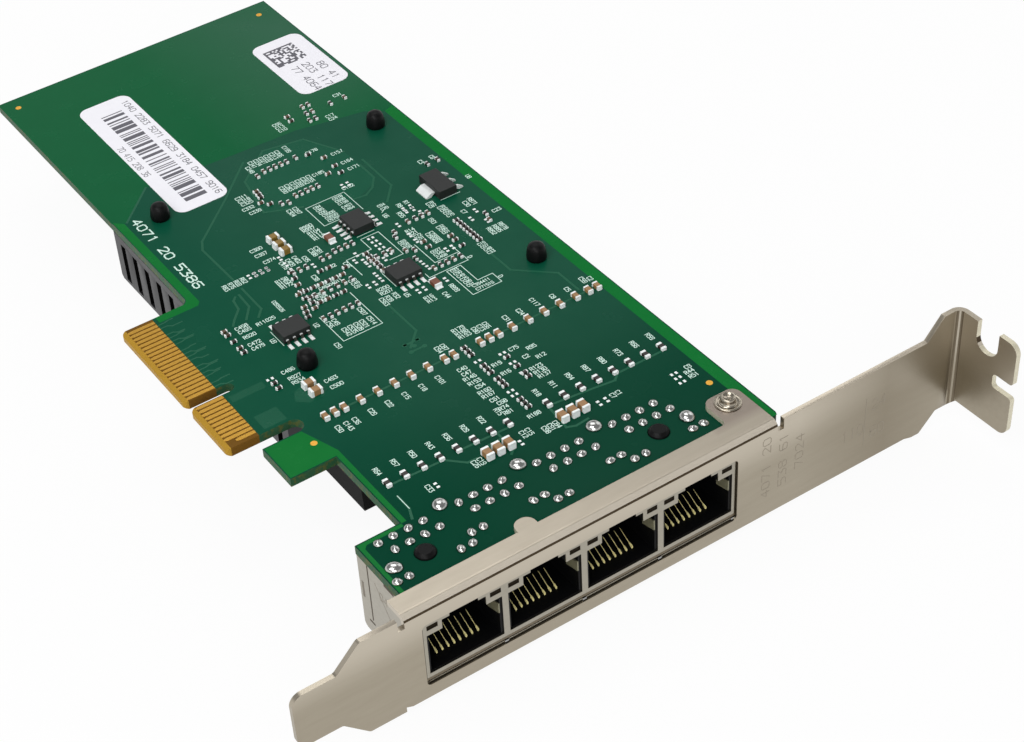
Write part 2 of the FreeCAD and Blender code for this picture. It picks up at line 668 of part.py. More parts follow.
head = new_sketch(bracket, "bent_tab_outline", "XZ_Plane", -bracket_top_y)
slot_x = s.bracket_face_x + s.screw_slot_reach
slot_half = s.screw_slot_width / 2
slot_floor = head_high - s.screw_slot_depth
tab_end_x = s.bracket_face_x + s.bracket_tab_depth
guide_z = head_high - s.guide_slot_drop
guide_half = s.guide_slot_width / 2
tab_low = head_low + s.bracket_tab_step
polygon(head, [
    (inner_face_x, head_low),
    (s.bracket_face_x, head_low),
    (s.bracket_face_x + s.bracket_tab_step, tab_low),
    (tab_end_x, tab_low),
    (tab_end_x, guide_z - guide_half),
    (tab_end_x - s.guide_slot_depth, guide_z - guide_half),
    (tab_end_x - s.guide_slot_depth, guide_z + guide_half),
    (tab_end_x, guide_z + guide_half),
    (tab_end_x, head_high),
    (slot_x + slot_half, head_high),
    (slot_x + slot_half, slot_floor),
    (slot_x - slot_half, slot_floor),
    (slot_x - slot_half, head_high),
    (inner_face_x, head_high),
])
pad(bracket, "bent_tab", head, s.bracket_sheet)

# The jack's nose passes through the opening, above a spring strip.
nose_low_y = s.first_port_y - s.nose_margin
nose_high_y = last_port_y + s.nose_margin
nose_top = component_face - s.nose_top_drop
nose_bottom = component_face - s.nose_bottom_drop
opening_low_y = nose_low_y - s.opening_gap
opening_high_y = nose_high_y + s.opening_gap
opening_top = nose_top + s.opening_gap
opening_bottom = nose_bottom - s.opening_bottom_gap
opening = new_sketch(bracket, "port_opening_outline", "YZ_Plane", s.bracket_face_x)
rectangle(opening, opening_low_y, opening_bottom, opening_high_y, opening_top)
pocket(bracket, "port_opening", opening, s.bracket_sheet * 2, side="Symmetric")
rivet_hole = new_sketch(bracket, "rivet_hole_centre", "XY_Plane", solder_face)
circle(rivet_hole, rivet_x, rivet_y, s.rivet_shank_radius + s.hole_clearance)
pocket(bracket, "rivet_hole", rivet_hole, s.bracket_sheet * 3, side="Symmetric")

# Middles of the sheet, where the edges to be rounded are looked for.
outer_bend = s.bend_inner_radius + s.bracket_sheet
tab_outer_bend = s.bracket_tab_bend + s.bracket_sheet
flange_middle_y = (s.flange_start_y + flange_end_y) / 2
plate_mid_x = s.bracket_face_x - s.bracket_sheet / 2
flange_mid_z = solder_face + s.bracket_sheet / 2
tab_mid_y = bracket_top_y - s.bracket_sheet / 2
fillet(bracket, "flange_outer_bend", [vec(s.bracket_face_x, flange_middle_y, flange_top)], outer_bend)
fillet(bracket, "flange_inner_bend", [vec(inner_face_x, flange_middle_y, solder_face)],
       s.bend_inner_radius)
fillet(bracket, "tab_outer_bend", [vec(inner_face_x, bracket_top_y, plate_middle)], tab_outer_bend)
fillet(bracket, "tab_inner_bend",
       [vec(s.bracket_face_x, bracket_top_y - s.bracket_sheet, plate_middle)], s.bracket_tab_bend)
fillet(bracket, "opening_corners",
       [vec(plate_mid_x, y, z) for y in (opening_low_y, opening_high_y)
        for z in (opening_bottom, opening_top)],
       s.opening_radius)
fillet(bracket, "screw_slot_end",
       [vec(slot_x + side * slot_half, tab_mid_y, slot_floor) for side in (1, -1)], slot_half - 0.01)
fillet(bracket, "tab_corners", [vec(tab_end_x, tab_mid_y, z) for z in (tab_low, head_high)],
       s.bracket_tab_radius)
fillet(bracket, "guide_slot_mouth",
       [vec(tab_end_x, tab_mid_y, guide_z + side * guide_half) for side in (1, -1)],
       s.guide_slot_corner)
fillet(bracket, "tongue_corners",
       [vec(plate_mid_x, s.bracket_bottom_y, plate_middle + side * tongue_half) for side in (1, -1)],
       s.bracket_tongue_radius)
fillet(bracket, "tongue_shoulders",
       [vec(plate_mid_x, tongue_root_y, plate_middle + side * tongue_half) for side in (1, -1)]
       + [vec(plate_mid_x, plate_start_y, z) for z in (plate_low, flange_top)],
       s.bracket_shoulder_radius)
fillet(bracket, "guide_slot_end",
       [vec(tab_end_x - s.guide_slot_depth, tab_mid_y, guide_z + side * guide_half) for side in (1, -1)],
       guide_half / 2)
fillet(bracket, "ear_corners", [vec(ear_x, y, flange_mid_z) for y in (flange_end_y, ear_start_y)],
       s.flange_ear_radius)
fillet(bracket, "ear_root", [vec(flange_x, ear_start_y, flange_mid_z)], s.flange_ear_radius / 2)
fillet(bracket, "flange_tab_end",
       [vec(flange_x - s.flange_tab_reach, s.flange_tab_y + side * tab_half, flange_mid_z)
        for side in (1, -1)],
       tab_half - 0.1)

# ---------------------------------------------------------------- bracket rivet
rivet = new_body("bracket_rivet")
section = new_sketch(rivet, "rivet_section", "XZ_Plane")
rivet_base = flange_top + s.rivet_flange_height
rivet_tail = component_face - s.rivet_flange_height * 2
rivet_end = rivet_base + s.rivet_boss_height
polygon(section, [
    (0.0, rivet_tail),
    (s.rivet_flange_radius, rivet_tail),
    (s.rivet_flange_radius, component_face),
    (s.rivet_shank_radius, component_face),
    (s.rivet_shank_radius, flange_top),
    (s.rivet_flange_radius, flange_top),
    (s.rivet_flange_radius - s.rivet_flange_height / 3, rivet_base),
    (s.rivet_boss_radius, rivet_base),
    (s.rivet_boss_radius - s.rivet_flange_height / 2, rivet_end),
    (s.rivet_socket_radius, rivet_end),
    (s.rivet_socket_radius, rivet_end - s.rivet_socket_depth),
    (0.0, rivet_end - s.rivet_socket_depth),
])
turned = rivet.newObject("PartDesign::Revolution", "turned_rivet")
turned.Profile = section
turned.ReferenceAxis = (section, ["V_Axis"])
turned.Angle = 360.0
section.Visibility = False
rivet.setExpression("Placement.Base.x", rivet_x.text)
rivet.setExpression("Placement.Base.y", rivet_y.text)
doc.recompute()

# ---------------------------------------------------------------- jack shield
jack_top = component_face - s.jack_standoff
jack_bottom = jack_top - s.jack_height
jack_front_x = inner_face_x - s.jack_bracket_gap
jack_low_y = s.first_port_y - s.jack_side_margin
jack_high_y = last_port_y + s.jack_side_margin
jack_middle_y = (jack_low_y + jack_high_y) / 2
nose_front_x = s.bracket_face_x - s.nose_recess
window_bottom = component_face - s.window_bottom_drop
window_shoulder = component_face - s.window_shoulder_drop
shelf_top = component_face - s.latch_shelf_drop
led_top = component_face - s.led_window_drop
led_bottom = led_top - s.led_window_height


def port_outline(y, floor, half, top):
    """A port's opening: a wide lower part and a stepped cut-out for the plug's latch."""
    return [
        (y - half, floor),
        (y + half, floor),
        (y + half, window_shoulder),
        (y + s.latch_shelf_half, window_shoulder),
        (y + s.latch_shelf_half, shelf_top),
        (y + s.latch_half, shelf_top),
        (y + s.latch_half, top),
        (y - s.latch_half, top),
        (y - s.latch_half, shelf_top),
        (y - s.latch_shelf_half, shelf_top),
        (y - s.latch_shelf_half, window_shoulder),
        (y - half, window_shoulder),
    ]


shield = new_body("jack_shield")
can = new_sketch(shield, "can_outline", "XY_Plane", jack_bottom)
rectangle(can, s.jack_rear_x, jack_low_y, jack_front_x, jack_high_y)
pad(shield, "can", can, s.jack_height)
nose = new_sketch(shield, "nose_outline", "YZ_Plane", jack_front_x)
rectangle(nose, nose_low_y, nose_bottom, nose_high_y, nose_top)
pad(shield, "nose", nose, nose_front_x - jack_front_x)
strip = new_sketch(shield, "spring_strip_outline", "YZ_Plane", jack_front_x)
strip_top = nose_bottom - s.spring_strip_gap
rectangle(strip, nose_low_y, strip_top - s.spring_strip_height, nose_high_y, strip_top)
pad(shield, "spring_strip", strip, nose_front_x - jack_front_x)
fillet(shield, "can_rear_edge", [vec(s.jack_rear_x, jack_middle_y, jack_bottom)], s.can_rear_radius)
hollow = new_sketch(shield, "can_inside", "XY_Plane", jack_bottom + s.shield_sheet)
rectangle(hollow, s.jack_rear_x + s.shield_sheet, jack_low_y + s.shield_sheet,
          jack_front_x - s.shield_sheet, jack_high_y - s.shield_sheet)
pocket(shield, "can_hollow", hollow, s.jack_height, backwards=True)
nose_hollow = new_sketch(shield, "nose_inside", "YZ_Plane", nose_front_x - s.shield_sheet)
rectangle(nose_hollow, nose_low_y + s.shield_sheet, nose_bottom + s.shield_sheet,
          nose_high_y - s.shield_sheet, nose_top - s.shield_sheet)
pocket(shield, "nose_hollow", nose_hollow, nose_front_x - jack_front_x)
windows = new_sketch(shield, "port_window", "YZ_Plane", nose_front_x)
polygon(windows, port_outline(s.first_port_y, window_bottom, s.window_half_width, nose_top + 1))
port_window = pocket(shield, "port_windows", windows, nose_front_x - jack_front_x + s.shield_sheet / 2)
pattern(shield, "port_window_row", port_window, "Y_Axis", s.port_pitch, s.port_count)
leds = new_sketch(shield, "indicator_windows", "YZ_Plane", nose_front_x)
for side in (1, -1):
    inner = s.first_port_y + side * s.led_window_inner
    outer = inner + side * s.led_window_width
    rectangle(leds, inner, led_bottom, outer, led_top)
led_window = pocket(shield, "indicator_cuts", leds, s.shield_sheet * 2)
pattern(shield, "indicator_row", led_window, "Y_Axis", s.port_pitch, s.port_count)

# ---------------------------------------------------------------- jack housing
inset = s.shield_sheet + s.fit_gap
cavity_floor = component_face - s.cavity_floor_drop
housing = new_body("jack_housing")
core = new_sketch(housing, "core_outline", "XY_Plane", jack_bottom + inset)
rectangle(core, s.jack_rear_x + inset, jack_low_y + inset, jack_front_x - inset, jack_high_y - inset)
pad(housing, "core", core, s.jack_height - inset)
fillet(housing, "core_rear_edge", [vec(s.jack_rear_x + inset, jack_middle_y, jack_bottom + inset)],
       s.can_rear_radius)
muzzle = new_sketch(housing, "muzzle_outline", "YZ_Plane", jack_front_x - inset)
rectangle(muzzle, nose_low_y + inset, nose_bottom + inset, nose_high_y - inset, nose_top - inset)
pad(housing, "muzzle", muzzle, nose_front_x - jack_front_x)
cavity = new_sketch(housing, "cavity_outline", "YZ_Plane", nose_front_x)
polygon(cavity, port_outline(s.first_port_y, cavity_floor, s.cavity_half_width, nose_top - inset * 2))
port_cavity = pocket(housing, "port_cavity", cavity, s.cavity_depth)
pattern(housing, "port_cavity_row", port_cavity, "Y_Axis", s.port_pitch, s.port_count)
pipes = new_sketch(housing, "light_pipe_slots", "YZ_Plane", nose_front_x)
for side in (1, -1):
    inner = s.first_port_y + side * (s.led_window_inner - s.fit_gap)
    outer = s.first_port_y + side * (s.led_window_inner + s.led_window_width + s.fit_gap)
    rectangle(pipes, inner, led_bottom - s.fit_gap, outer, led_top + s.fit_gap)
pipe_slot = pocket(housing, "light_pipe_slot", pipes, s.cavity_depth / 2)
pattern(housing, "light_pipe_slot_row", pipe_slot, "Y_Axis", s.port_pitch, s.port_count)
pegs = new_sketch(housing, "peg_centres", "XY_Plane", jack_top)
for x, y in peg_places:
    circle(pegs, x, y, s.peg_radius)
pad(housing, "pegs", pegs, solder_face + s.peg_rise - jack_top)

# ---------------------------------------------------------------- inside the ports
port_centres = [s.first_port_y + k * s.port_pitch for k in range(int(s.port_count))]
cavity_back_x = nose_front_x - s.cavity_depth
wire_tip_x = nose_front_x - s.wire_setback
for number, y in enumerate(port_centres, start=1):
    wires = []
    for i in range(8):
        wire_y = y + (i - 3.5) * s.wire_pitch - s.wire_width / 2
        wires.append(profile_xz([
            (wire_tip_x, cavity_floor + s.fit_gap),
            (wire_tip_x, cavity_floor + s.fit_gap + s.wire_thickness),
            (cavity_back_x, cavity_floor + s.wire_rise + s.wire_thickness),
            (cavity_back_x, cavity_floor + s.wire_rise),
        ], wire_y, s.wire_width))
    group("port_contacts_%d" % number, wires)

light_pipes = []
for y in port_centres:
    for side in (1, -1):
        edges = sorted((y + side * s.led_window_inner, y + side * (s.led_window_inner + s.led_window_width)),
                       key=float)
        light_pipes.append(block(nose_front_x - s.cavity_depth / 2 + s.fit_gap,
                                 nose_front_x - s.shield_sheet / 3,
                                 edges[0] + s.fit_gap, edges[1] - s.fit_gap,
                                 led_bottom + s.fit_gap, led_top - s.fit_gap))
group("status_light_pipes", light_pipes)

# ---------------------------------------------------------------- solder joints of the jack
def joint(x, y):
    return faceted_cone(x, y, solder_face, solder_face + s.joint_height,
                        s.joint_radius, s.joint_tip_radius, 6)


led_front_x = s.bracket_face_x - s.led_pin_front
led_rear_x = s.bracket_face_x - s.led_pin_rear
led_rows = [(led_front_x, led_front_x), (led_rear_x, led_rear_x),
            (led_front_x, led_rear_x), (led_front_x, led_front_x)]
joints = []
for y, (left_x, right_x) in zip(port_centres, led_rows):
    for i in range(8):
        row_x = s.pin_row_x + (i % 2) * s.pin_row_gap
        joints.append(joint(row_x, y + (i - 3.5) * s.pin_pitch))
    for x, side in ((left_x, -1), (right_x, 1)):
        joints.append(joint(x, y + side * s.led_pin_inner))
        joints.append(joint(x, y + side * s.led_pin_outer))
group("signal_solder_joints", joints)

post_places = [(s.post_rear_x, (port_centres[k] + port_centres[k + 1]) / 2)
               for k in range(int(s.port_count) - 1)]
post_places += [(s.post_side_x, s.first_port_y - s.post_side_margin),
                (s.post_side_x, last_port_y + s.post_side_margin)]
group("shield_solder_joints",
      [faceted_cone(x, y, solder_face, solder_face + s.post_joint_height,
                    s.post_joint_radius, s.joint_radius, 10) for x, y in post_places])

# ---------------------------------------------------------------- transformer modules
module_top = component_face - s.module_standoff
module_bottom = module_top - s.module_height
module_far_x = sink_near_x + s.sink_module_gap
module_near_x = module_far_x + s.module_length
parting = module_top - s.module_parting


def tapered_block(x0, x1, y0, y1, z_waist, z_end, draft):
    """A moulded half: full size at the waist, smaller by the draft at its end."""
    def outline(inset_by, z):
        corners = [vec(x0 + inset_by, y0 + inset_by, z), vec(x1 - inset_by, y0 + inset_by, z),
                   vec(x1 - inset_by, y1 - inset_by, z), vec(x0 + inset_by, y1 - inset_by, z)]
        return Part.makePolygon(corners + corners[:1])
    return Part.makeLoft([outline(0.0, z_waist), outline(draft, z_end)], True, True)


def gull_lead(x, y, z, side, reach, along, foot, width=s.lead_width, knee=0.45):
    """A lead that leaves a body at height z and turns to rest its foot on the board."""
    thickness = s.lead_sheet if float(foot) < float(z) else -s.lead_sheet
    points = [(0.0, z), (reach * knee, z), (reach, foot + thickness), (reach, foot),
              (reach * knee, foot), (0.0, z - thickness)]
    if knee == 0.0:
        points = [(0.0, z), (reach, foot), (reach / 2, foot), (0.0, z - thickness)]
    corners = []
    for out, level in points:
        if along == "x":
            corners.append(vec(x + side * out, y - width / 2, level))
        else:
            corners.append(vec(x - width / 2, y + side * out, level))
    face = Part.Face(Part.makePolygon(corners + corners[:1]))
    return face.extrude(vec(0, width, 0) if along == "x" else vec(width, 0, 0))


modules = []
module_lead_set = []
for k in range(4):
    y0 = s.module_start_y + k * s.module_pitch
    y1 = y0 + s.module_width
    lower = tapered_block(module_far_x, module_near_x, y0, y1, parting, module_bottom, s.module_draft)
    upper = tapered_block(module_far_x, module_near_x, y0, y1, parting, module_top, s.module_draft / 2)
    modules.append(lower.fuse(upper).removeSplitter())
    for i in range(int(s.module_leads)):
        y = (y0 + y1) / 2 + (i - (s.module_leads - 1) / 2) * s.module_lead_pitch
        for x, side in ((module_far_x, -1), (module_near_x, 1)):
            module_lead_set.append(gull_lead(x, y, parting, side, s.module_lead_reach, "x",
                                             component_face, knee=0.0))
group("transformer_modules", modules)
group("transformer_leads", module_lead_set)

# ---------------------------------------------------------------- controller and heatsink
sink_top = component_face - s.sink_gap
sink_bottom = sink_top - s.sink_height
slot_pitch = (s.sink_length - 2 * s.sink_slot_margin - s.sink_slot_width) / (s.sink_slots - 1)
chip_bottom = component_face - s.chip_carrier_height - s.chip_cap_height
pocket_floor = chip_bottom - s.pad_thickness
chip_x = sink_near_x - s.sink_length / 2

chip = new_body("controller_chip")
carrier = new_sketch(chip, "carrier_outline", "XY_Plane", component_face)
half_carrier = s.chip_side / 2
rectangle(carrier, chip_x - half_carrier, controller_y - half_carrier,
          chip_x + half_carrier, controller_y + half_carrier)
pad(chip, "carrier", carrier, s.chip_carrier_height, backwards=True)
cap = new_sketch(chip, "cap_outline", "XY_Plane", component_face - s.chip_carrier_height)
half_cap = s.chip_cap_side / 2
rectangle(cap, chip_x - half_cap, controller_y - half_cap, chip_x + half_cap, controller_y + half_cap)
pad(chip, "moulded_cap", cap, s.chip_cap_height, backwards=True)
chamfer(chip, "cap_corner",
        [vec(chip_x + half_cap, controller_y + half_cap, chip_bottom + s.chip_cap_height / 2)],
        s.chip_corner)

gap_pad = new_body("thermal_pad")
pad_outline = new_sketch(gap_pad, "pad_outline", "XY_Plane", chip_bottom)
half_pad = half_cap * 0.88
rectangle(pad_outline, chip_x - half_pad, controller_y - half_pad,
          chip_x + half_pad, controller_y + half_pad)
pad(gap_pad, "pad_sheet", pad_outline, s.pad_thickness, backwards=True)

sink = new_body("heatsink")
sink_outline = new_sketch(sink, "sink_outline", "XY_Plane", sink_bottom)
rectangle(sink_outline, -s.sink_far_x, sink_low_y, sink_near_x, sink_high_y)
pad(sink, "sink_block", sink_outline, s.sink_height)
chamfer(sink, "sink_ends",
        [vec(x, controller_y, sink_bottom) for x in (-s.sink_far_x, sink_near_x)], s.sink_chamfer)
chip_pocket = new_sketch(sink, "chip_pocket_outline", "XY_Plane", sink_top)
half_pocket = s.sink_pocket_side / 2
rectangle(chip_pocket, chip_x - half_pocket, controller_y - half_pocket,
          chip_x + half_pocket, controller_y + half_pocket)
pocket(sink, "chip_pocket", chip_pocket, sink_top - pocket_floor)
slot_x0 = -s.sink_far_x + s.sink_slot_margin
side_slot = new_sketch(sink, "side_slot_outline", "XZ_Plane", -sink_low_y)
rectangle(side_slot, slot_x0, sink_bottom + s.sink_slot_floor,
          slot_x0 + s.sink_slot_width, sink_top - s.sink_slot_top)
low_slot = pocket(sink, "side_slot_low", side_slot, s.sink_wall)
pattern(sink, "side_slots_low", low_slot, "X_Axis", slot_pitch, s.sink_slots)
far_slot = new_sketch(sink, "far_slot_outline", "XZ_Plane", -sink_high_y + s.sink_wall)
rectangle(far_slot, slot_x0, sink_bottom + s.sink_slot_floor,
          slot_x0 + s.sink_slot_width, sink_top - s.sink_slot_top)
high_slot = pocket(sink, "side_slot_high", far_slot, s.sink_wall)
pattern(sink, "side_slots_high", high_slot, "X_Axis", slot_pitch, s.sink_slots)
groove = new_sketch(sink, "fin_groove_outline", "XY_Plane", sink_bottom)
rectangle(groove, slot_x0, sink_low_y + s.sink_wall, slot_x0 + s.sink_slot_width,
          sink_high_y - s.sink_wall)
fin_groove = pocket(sink, "fin_groove", groove, pocket_floor - s.sink_base - sink_bottom, backwards=True)
pattern(sink, "fin_grooves", fin_groove, "X_Axis", slot_pitch, s.sink_slots)
pin_bores = new_sketch(sink, "pin_bore_centres", "XY_Plane", sink_bottom)
for x, y in push_pin_places:
    circle(pin_bores, x, y, s.sink_pin_bore_radius)
pocket(sink, "pin_bores", pin_bores, s.sink_height - s.sink_pin_floor, backwards=True)
pin_holes = new_sketch(sink, "pin_hole_centres", "XY_Plane", sink_bottom)
for x, y in push_pin_places:
    circle(pin_holes, x, y, s.push_pin_radius + s.hole_clearance)
pocket(sink, "pin_holes", pin_holes, s.sink_height + 1, backwards=True)

# ---------------------------------------------------------------- push pins and springs
head_bottom = sink_bottom + s.push_pin_head_height / 4
head_top = head_bottom + s.push_pin_head_height
bore_floor = sink_top - s.sink_pin_floor
barb_base = solder_face + s.fit_gap
pin_end = solder_face + s.push_pin_rise


def push_pin(x, y):
    """A plastic pin: head below the spring, and a barbed tip on the solder side."""
    rings = [
        (s.push_pin_head_radius, head_bottom),
        (s.push_pin_head_radius, head_top),
        (s.push_pin_radius, head_top),
        (s.push_pin_radius, barb_base),
        (s.push_pin_barb_radius, barb_base),
        (s.push_pin_barb_radius * 0.55, pin_end),
    ]
    return skinned([ring_points(x, y, z, r, 18) for r, z in rings])


def coil(x, y, z0, z1):
    """A helical spring of square wire, in short straight lengths."""
    steps = 6
    count = int(s.spring_turns) * steps
    half = s.spring_wire / 2
    sections = []
    for i in range(count + 1):
        turn = 2 * math.pi * i / steps
        z = z0 + half + (z1 - z0 - s.spring_wire) * (i / count)
        outward = Vector(math.cos(turn), math.sin(turn), 0)
        centre = vec(x, y, z) + outward * float(s.spring_radius)
        side = outward * float(half)
        rise = Z * float(half)
        sections.append([centre - side - rise, centre + side - rise,
                         centre + side + rise, centre - side + rise])
    wires = [Part.makePolygon(corners + corners[:1]) for corners in sections]
    return Part.makeLoft(wires, True, True)


group("push_pins", [push_pin(x, y) for x, y in push_pin_places])
group("push_pin_springs", [coil(x, y, head_top, bore_floor) for x, y in push_pin_places])

# ---------------------------------------------------------------- parts on the solder side
def chip_part(x, y, length, width, height, face=solder_face, up=1):
    """A two-ended chip part with its middle at (x, y)."""
    levels = (face, face + height) if up > 0 else (face - height, face)
    return block(x - length / 2, x + length / 2, y - width / 2, y + width / 2, levels[0], levels[1])


memory_top = solder_face + s.memory_height
lead_exit = solder_face + s.memory_height * 0.55
memory_places = [(sink_near_x - 31.3, 0.573, "x"), (sink_near_x - 14.9, 0.552, "y"),
                 (sink_near_x - 13.65, 0.167, "y")]
memory_bodies = []
memory_leads = []
for x, share, row_axis in memory_places:
    y = up_board(share)
    if row_axis == "x":
        memory_bodies.append(chip_part(x, y, s.memory_length, s.memory_width,
                                       s.memory_height - 0.12, solder_face + 0.12))
    else:
        memory_bodies.append(chip_part(x, y, s.memory_width, s.memory_length,
                                       s.memory_height - 0.12, solder_face + 0.12))
    for side in (1, -1):
        for i in range(4):
            offset = (i - 1.5) * s.memory_lead_pitch
            if row_axis == "x":
                memory_leads.append(gull_lead(x + offset, y + side * s.memory_width / 2, lead_exit,
                                              side, s.memory_lead_reach, "y", solder_face))
            else:
                memory_leads.append(gull_lead(x + side * s.memory_width / 2, y + offset, lead_exit,
                                              side, s.memory_lead_reach, "x", solder_face))
group("memory_chips", memory_bodies)
group("memory_chip_leads", memory_leads)

regulator_x = chip_x - 2.3
regulator_y = up_board(0.864)
feature("regulator_body", chip_part(regulator_x, regulator_y, s.regulator_length, s.regulator_width,
                                    s.regulator_height - 0.05, solder_face + 0.05))
regulator_exit = solder_face + s.regulator_height * 0.5
regulator_leads = [gull_lead(regulator_x + (i - 1) * s.regulator_lead_pitch,
                             regulator_y + s.regulator_width / 2, regulator_exit, 1,
                             s.regulator_lead_reach, "y", solder_face) for i in range(3)]
heat_tab = gull_lead(regulator_x, regulator_y - s.regulator_width / 2, regulator_exit, -1,
                     s.regulator_lead_reach, "y", solder_face, width=s.regulator_length / 2)
group("regulator_leads", regulator_leads + [heat_tab])

row_start_y = s.board_lower_y + s.chip_row_low_margin
row_end_y = s.board_height - s.chip_row_high_margin
row_step = (row_end_y - row_start_y - s.chip_row_gap) / 14
line_runs = [(0.057, 3, s.chip_close_pitch), (0.168, 5, row_step), (0.437, 2, s.chip_close_pitch),
             (0.554, 3, s.chip_close_pitch), (0.660, 5, row_step), (0.918, 2, s.chip_close_pitch)]
group("line_capacitors", [chip_part(s.line_cap_x, up_board(share) + i * pitch, s.chip_part_length,
                                    s.chip_part_width, s.chip_part_height)
                          for share, count, pitch in line_runs for i in range(int(count))])
group("termination_resistors", [chip_part(s.termination_x, start + i * row_step,
                                          s.chip_part_length, s.chip_part_width,
                                          s.chip_part_height * 0.7)
                                for start in (row_start_y, row_end_y - 7 * row_step)
                                for i in range(8)])
beside_jack = [chip_part(s.bulk_cap_x, up_board(share) + i * s.bulk_pitch, s.bulk_part_length,
                         s.bulk_part_width, s.bulk_part_height)
               for share in (0.314, 0.550) for i in range(3)]
upright_places = [(sink_near_x - 0.65 + i * s.bulk_upright_pitch, up_board(0.088)) for i in range(2)]
upright_places += [(chip_x - 7.2 + i * s.bulk_upright_pitch, up_board(0.34)) for i in range(3)]
upright = [chip_part(x, y, s.bulk_part_width, s.bulk_part_length, s.bulk_part_height)
           for x, y in upright_places]
group("bulk_capacitors", beside_jack + upright)


def label(name, far_x, y0, length, width, radius):
    body = new_body(name)
    sketch = new_sketch(body, name + "_outline", "XY_Plane", solder_face)
    rectangle(sketch, -far_x, y0, length - far_x, y0 + width)
    pad(body, name + "_paper", sketch, s.label_thickness)
    corners = [vec(x, y, solder_face + s.label_thickness / 2)
               for x in (-far_x, length - far_x) for y in (y0, y0 + width)]
    fillet(body, name + "_corners", corners, radius)


label("product_label", s.label_far_x, s.board_lower_y + s.label_margin, s.label_length, s.label_width, s.label_radius)
label("code_label", s.code_label_far_x, s.board_height - s.code_label_margin - s.code_label_width,
      s.code_label_length, s.code_label_width, s.code_label_radius)

# ---------------------------------------------------------------- parts on the component side
def below(x, share, length, width, height):
    return chip_part(x - s.board_reach, up_board(share), length, width, height, component_face, -1)


group("power_inductors", [below(s.inductor_inset, share, s.inductor_side, s.inductor_side, s.inductor_height)
                          for share in (0.25, 0.43)])
feature("clock_crystal", below(s.crystal_inset, 0.2, s.crystal_length, s.crystal_width, s.crystal_height))
group("supply_capacitors", [below(x, share, s.bulk_part_length, s.bulk_part_width, s.bulk_part_height)
                            for x in (s.supply_inset, s.supply_inset + s.bulk_part_length * 1.5)
                            for share in (0.24, 0.31, 0.38, 0.45)])

# ---------------------------------------------------------------- checks and files
doc.recompute()
for obj in doc.Objects:
    if {"Invalid", "Error"} & set(obj.State):
        raise RuntimeError("%s does not compute" % obj.Name)
pieces = [obj for obj in doc.Objects
          if obj.TypeId in ("PartDesign::Body", "Part::Feature") and obj.Label == obj.Name]
os.makedirs("parts", exist_ok=True)
for obj in pieces:
    if obj.Shape.isNull() or not obj.Shape.isValid() or not obj.Shape.Solids:
        raise RuntimeError("%s has no valid solid" % obj.Label)
    obj.Shape.exportStep("parts/%s.step" % obj.Label)
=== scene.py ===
import bpy
import bmesh
import math
import random
from mathutils import Matrix, Vector


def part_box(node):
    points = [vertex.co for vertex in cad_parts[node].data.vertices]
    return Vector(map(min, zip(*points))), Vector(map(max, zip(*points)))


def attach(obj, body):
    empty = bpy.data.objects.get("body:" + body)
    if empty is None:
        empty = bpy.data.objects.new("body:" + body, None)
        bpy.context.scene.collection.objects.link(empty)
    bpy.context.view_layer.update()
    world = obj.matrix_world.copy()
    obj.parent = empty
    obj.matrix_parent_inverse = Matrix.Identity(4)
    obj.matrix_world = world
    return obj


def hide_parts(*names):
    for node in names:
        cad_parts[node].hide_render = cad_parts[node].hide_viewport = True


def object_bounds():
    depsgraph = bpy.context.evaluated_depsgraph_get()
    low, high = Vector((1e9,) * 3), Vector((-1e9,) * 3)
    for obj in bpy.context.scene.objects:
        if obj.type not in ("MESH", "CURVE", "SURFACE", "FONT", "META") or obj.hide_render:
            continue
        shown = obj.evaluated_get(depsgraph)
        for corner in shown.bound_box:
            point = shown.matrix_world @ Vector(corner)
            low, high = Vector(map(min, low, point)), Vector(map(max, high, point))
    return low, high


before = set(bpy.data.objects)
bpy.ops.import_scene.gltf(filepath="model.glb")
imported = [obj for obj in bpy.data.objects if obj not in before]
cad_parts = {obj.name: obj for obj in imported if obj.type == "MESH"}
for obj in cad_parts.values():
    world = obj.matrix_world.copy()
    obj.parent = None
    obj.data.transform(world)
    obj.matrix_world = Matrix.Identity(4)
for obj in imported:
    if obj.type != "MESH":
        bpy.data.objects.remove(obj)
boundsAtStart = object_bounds()
mm = 0.001
boardLow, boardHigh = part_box("circuit_board")
solderFace = boardHigh.z / mm
componentFace = boardLow.z / mm
print("frame loaded:", len(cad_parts), "nodes")


# ---- small helpers ----

def linear(hexColour):
    channels = [int(hexColour[i:i + 2], 16) / 255 for i in (1, 3, 5)]
    return [c / 12.92 if c <= 0.04045 else ((c + 0.055) / 1.055) ** 2.4 for c in channels] + [1.0]


def addNode(tree, kind, inputs=None, **settings):
    node = tree.nodes.new(kind)
    for name, value in settings.items():
        setattr(node, name, value)
    for name, value in (inputs or {}).items():
        if isinstance(value, bpy.types.NodeSocket):
            tree.links.new(value, node.inputs[name])
        else:
            node.inputs[name].default_value = value
    return node


def mixColours(tree, factor, first, second):
    return addNode(tree, "ShaderNodeMix", {0: factor, 6: first, 7: second}, data_type="RGBA").outputs[2]


def math2(tree, operation, first, second):
    return addNode(tree, "ShaderNodeMath", {0: first, 1: second}, operation=operation).outputs[0]


def ramp(tree, value, low=0.0, high=1.0, first=0.0, last=1.0, kind="SMOOTHSTEP"):
    return addNode(tree, "ShaderNodeMapRange", {0: value, 1: low, 2: high, 3: first, 4: last},
                   interpolation_type=kind).outputs[0]


def newMaterial(name):
    material = bpy.data.materials.new(name)
    material.use_nodes = True
    material.node_tree.nodes.clear()
    return material, material.node_tree


def finishMaterial(tree, shader):
    addNode(tree, "ShaderNodeOutputMaterial", {"Surface": shader.outputs[0]})


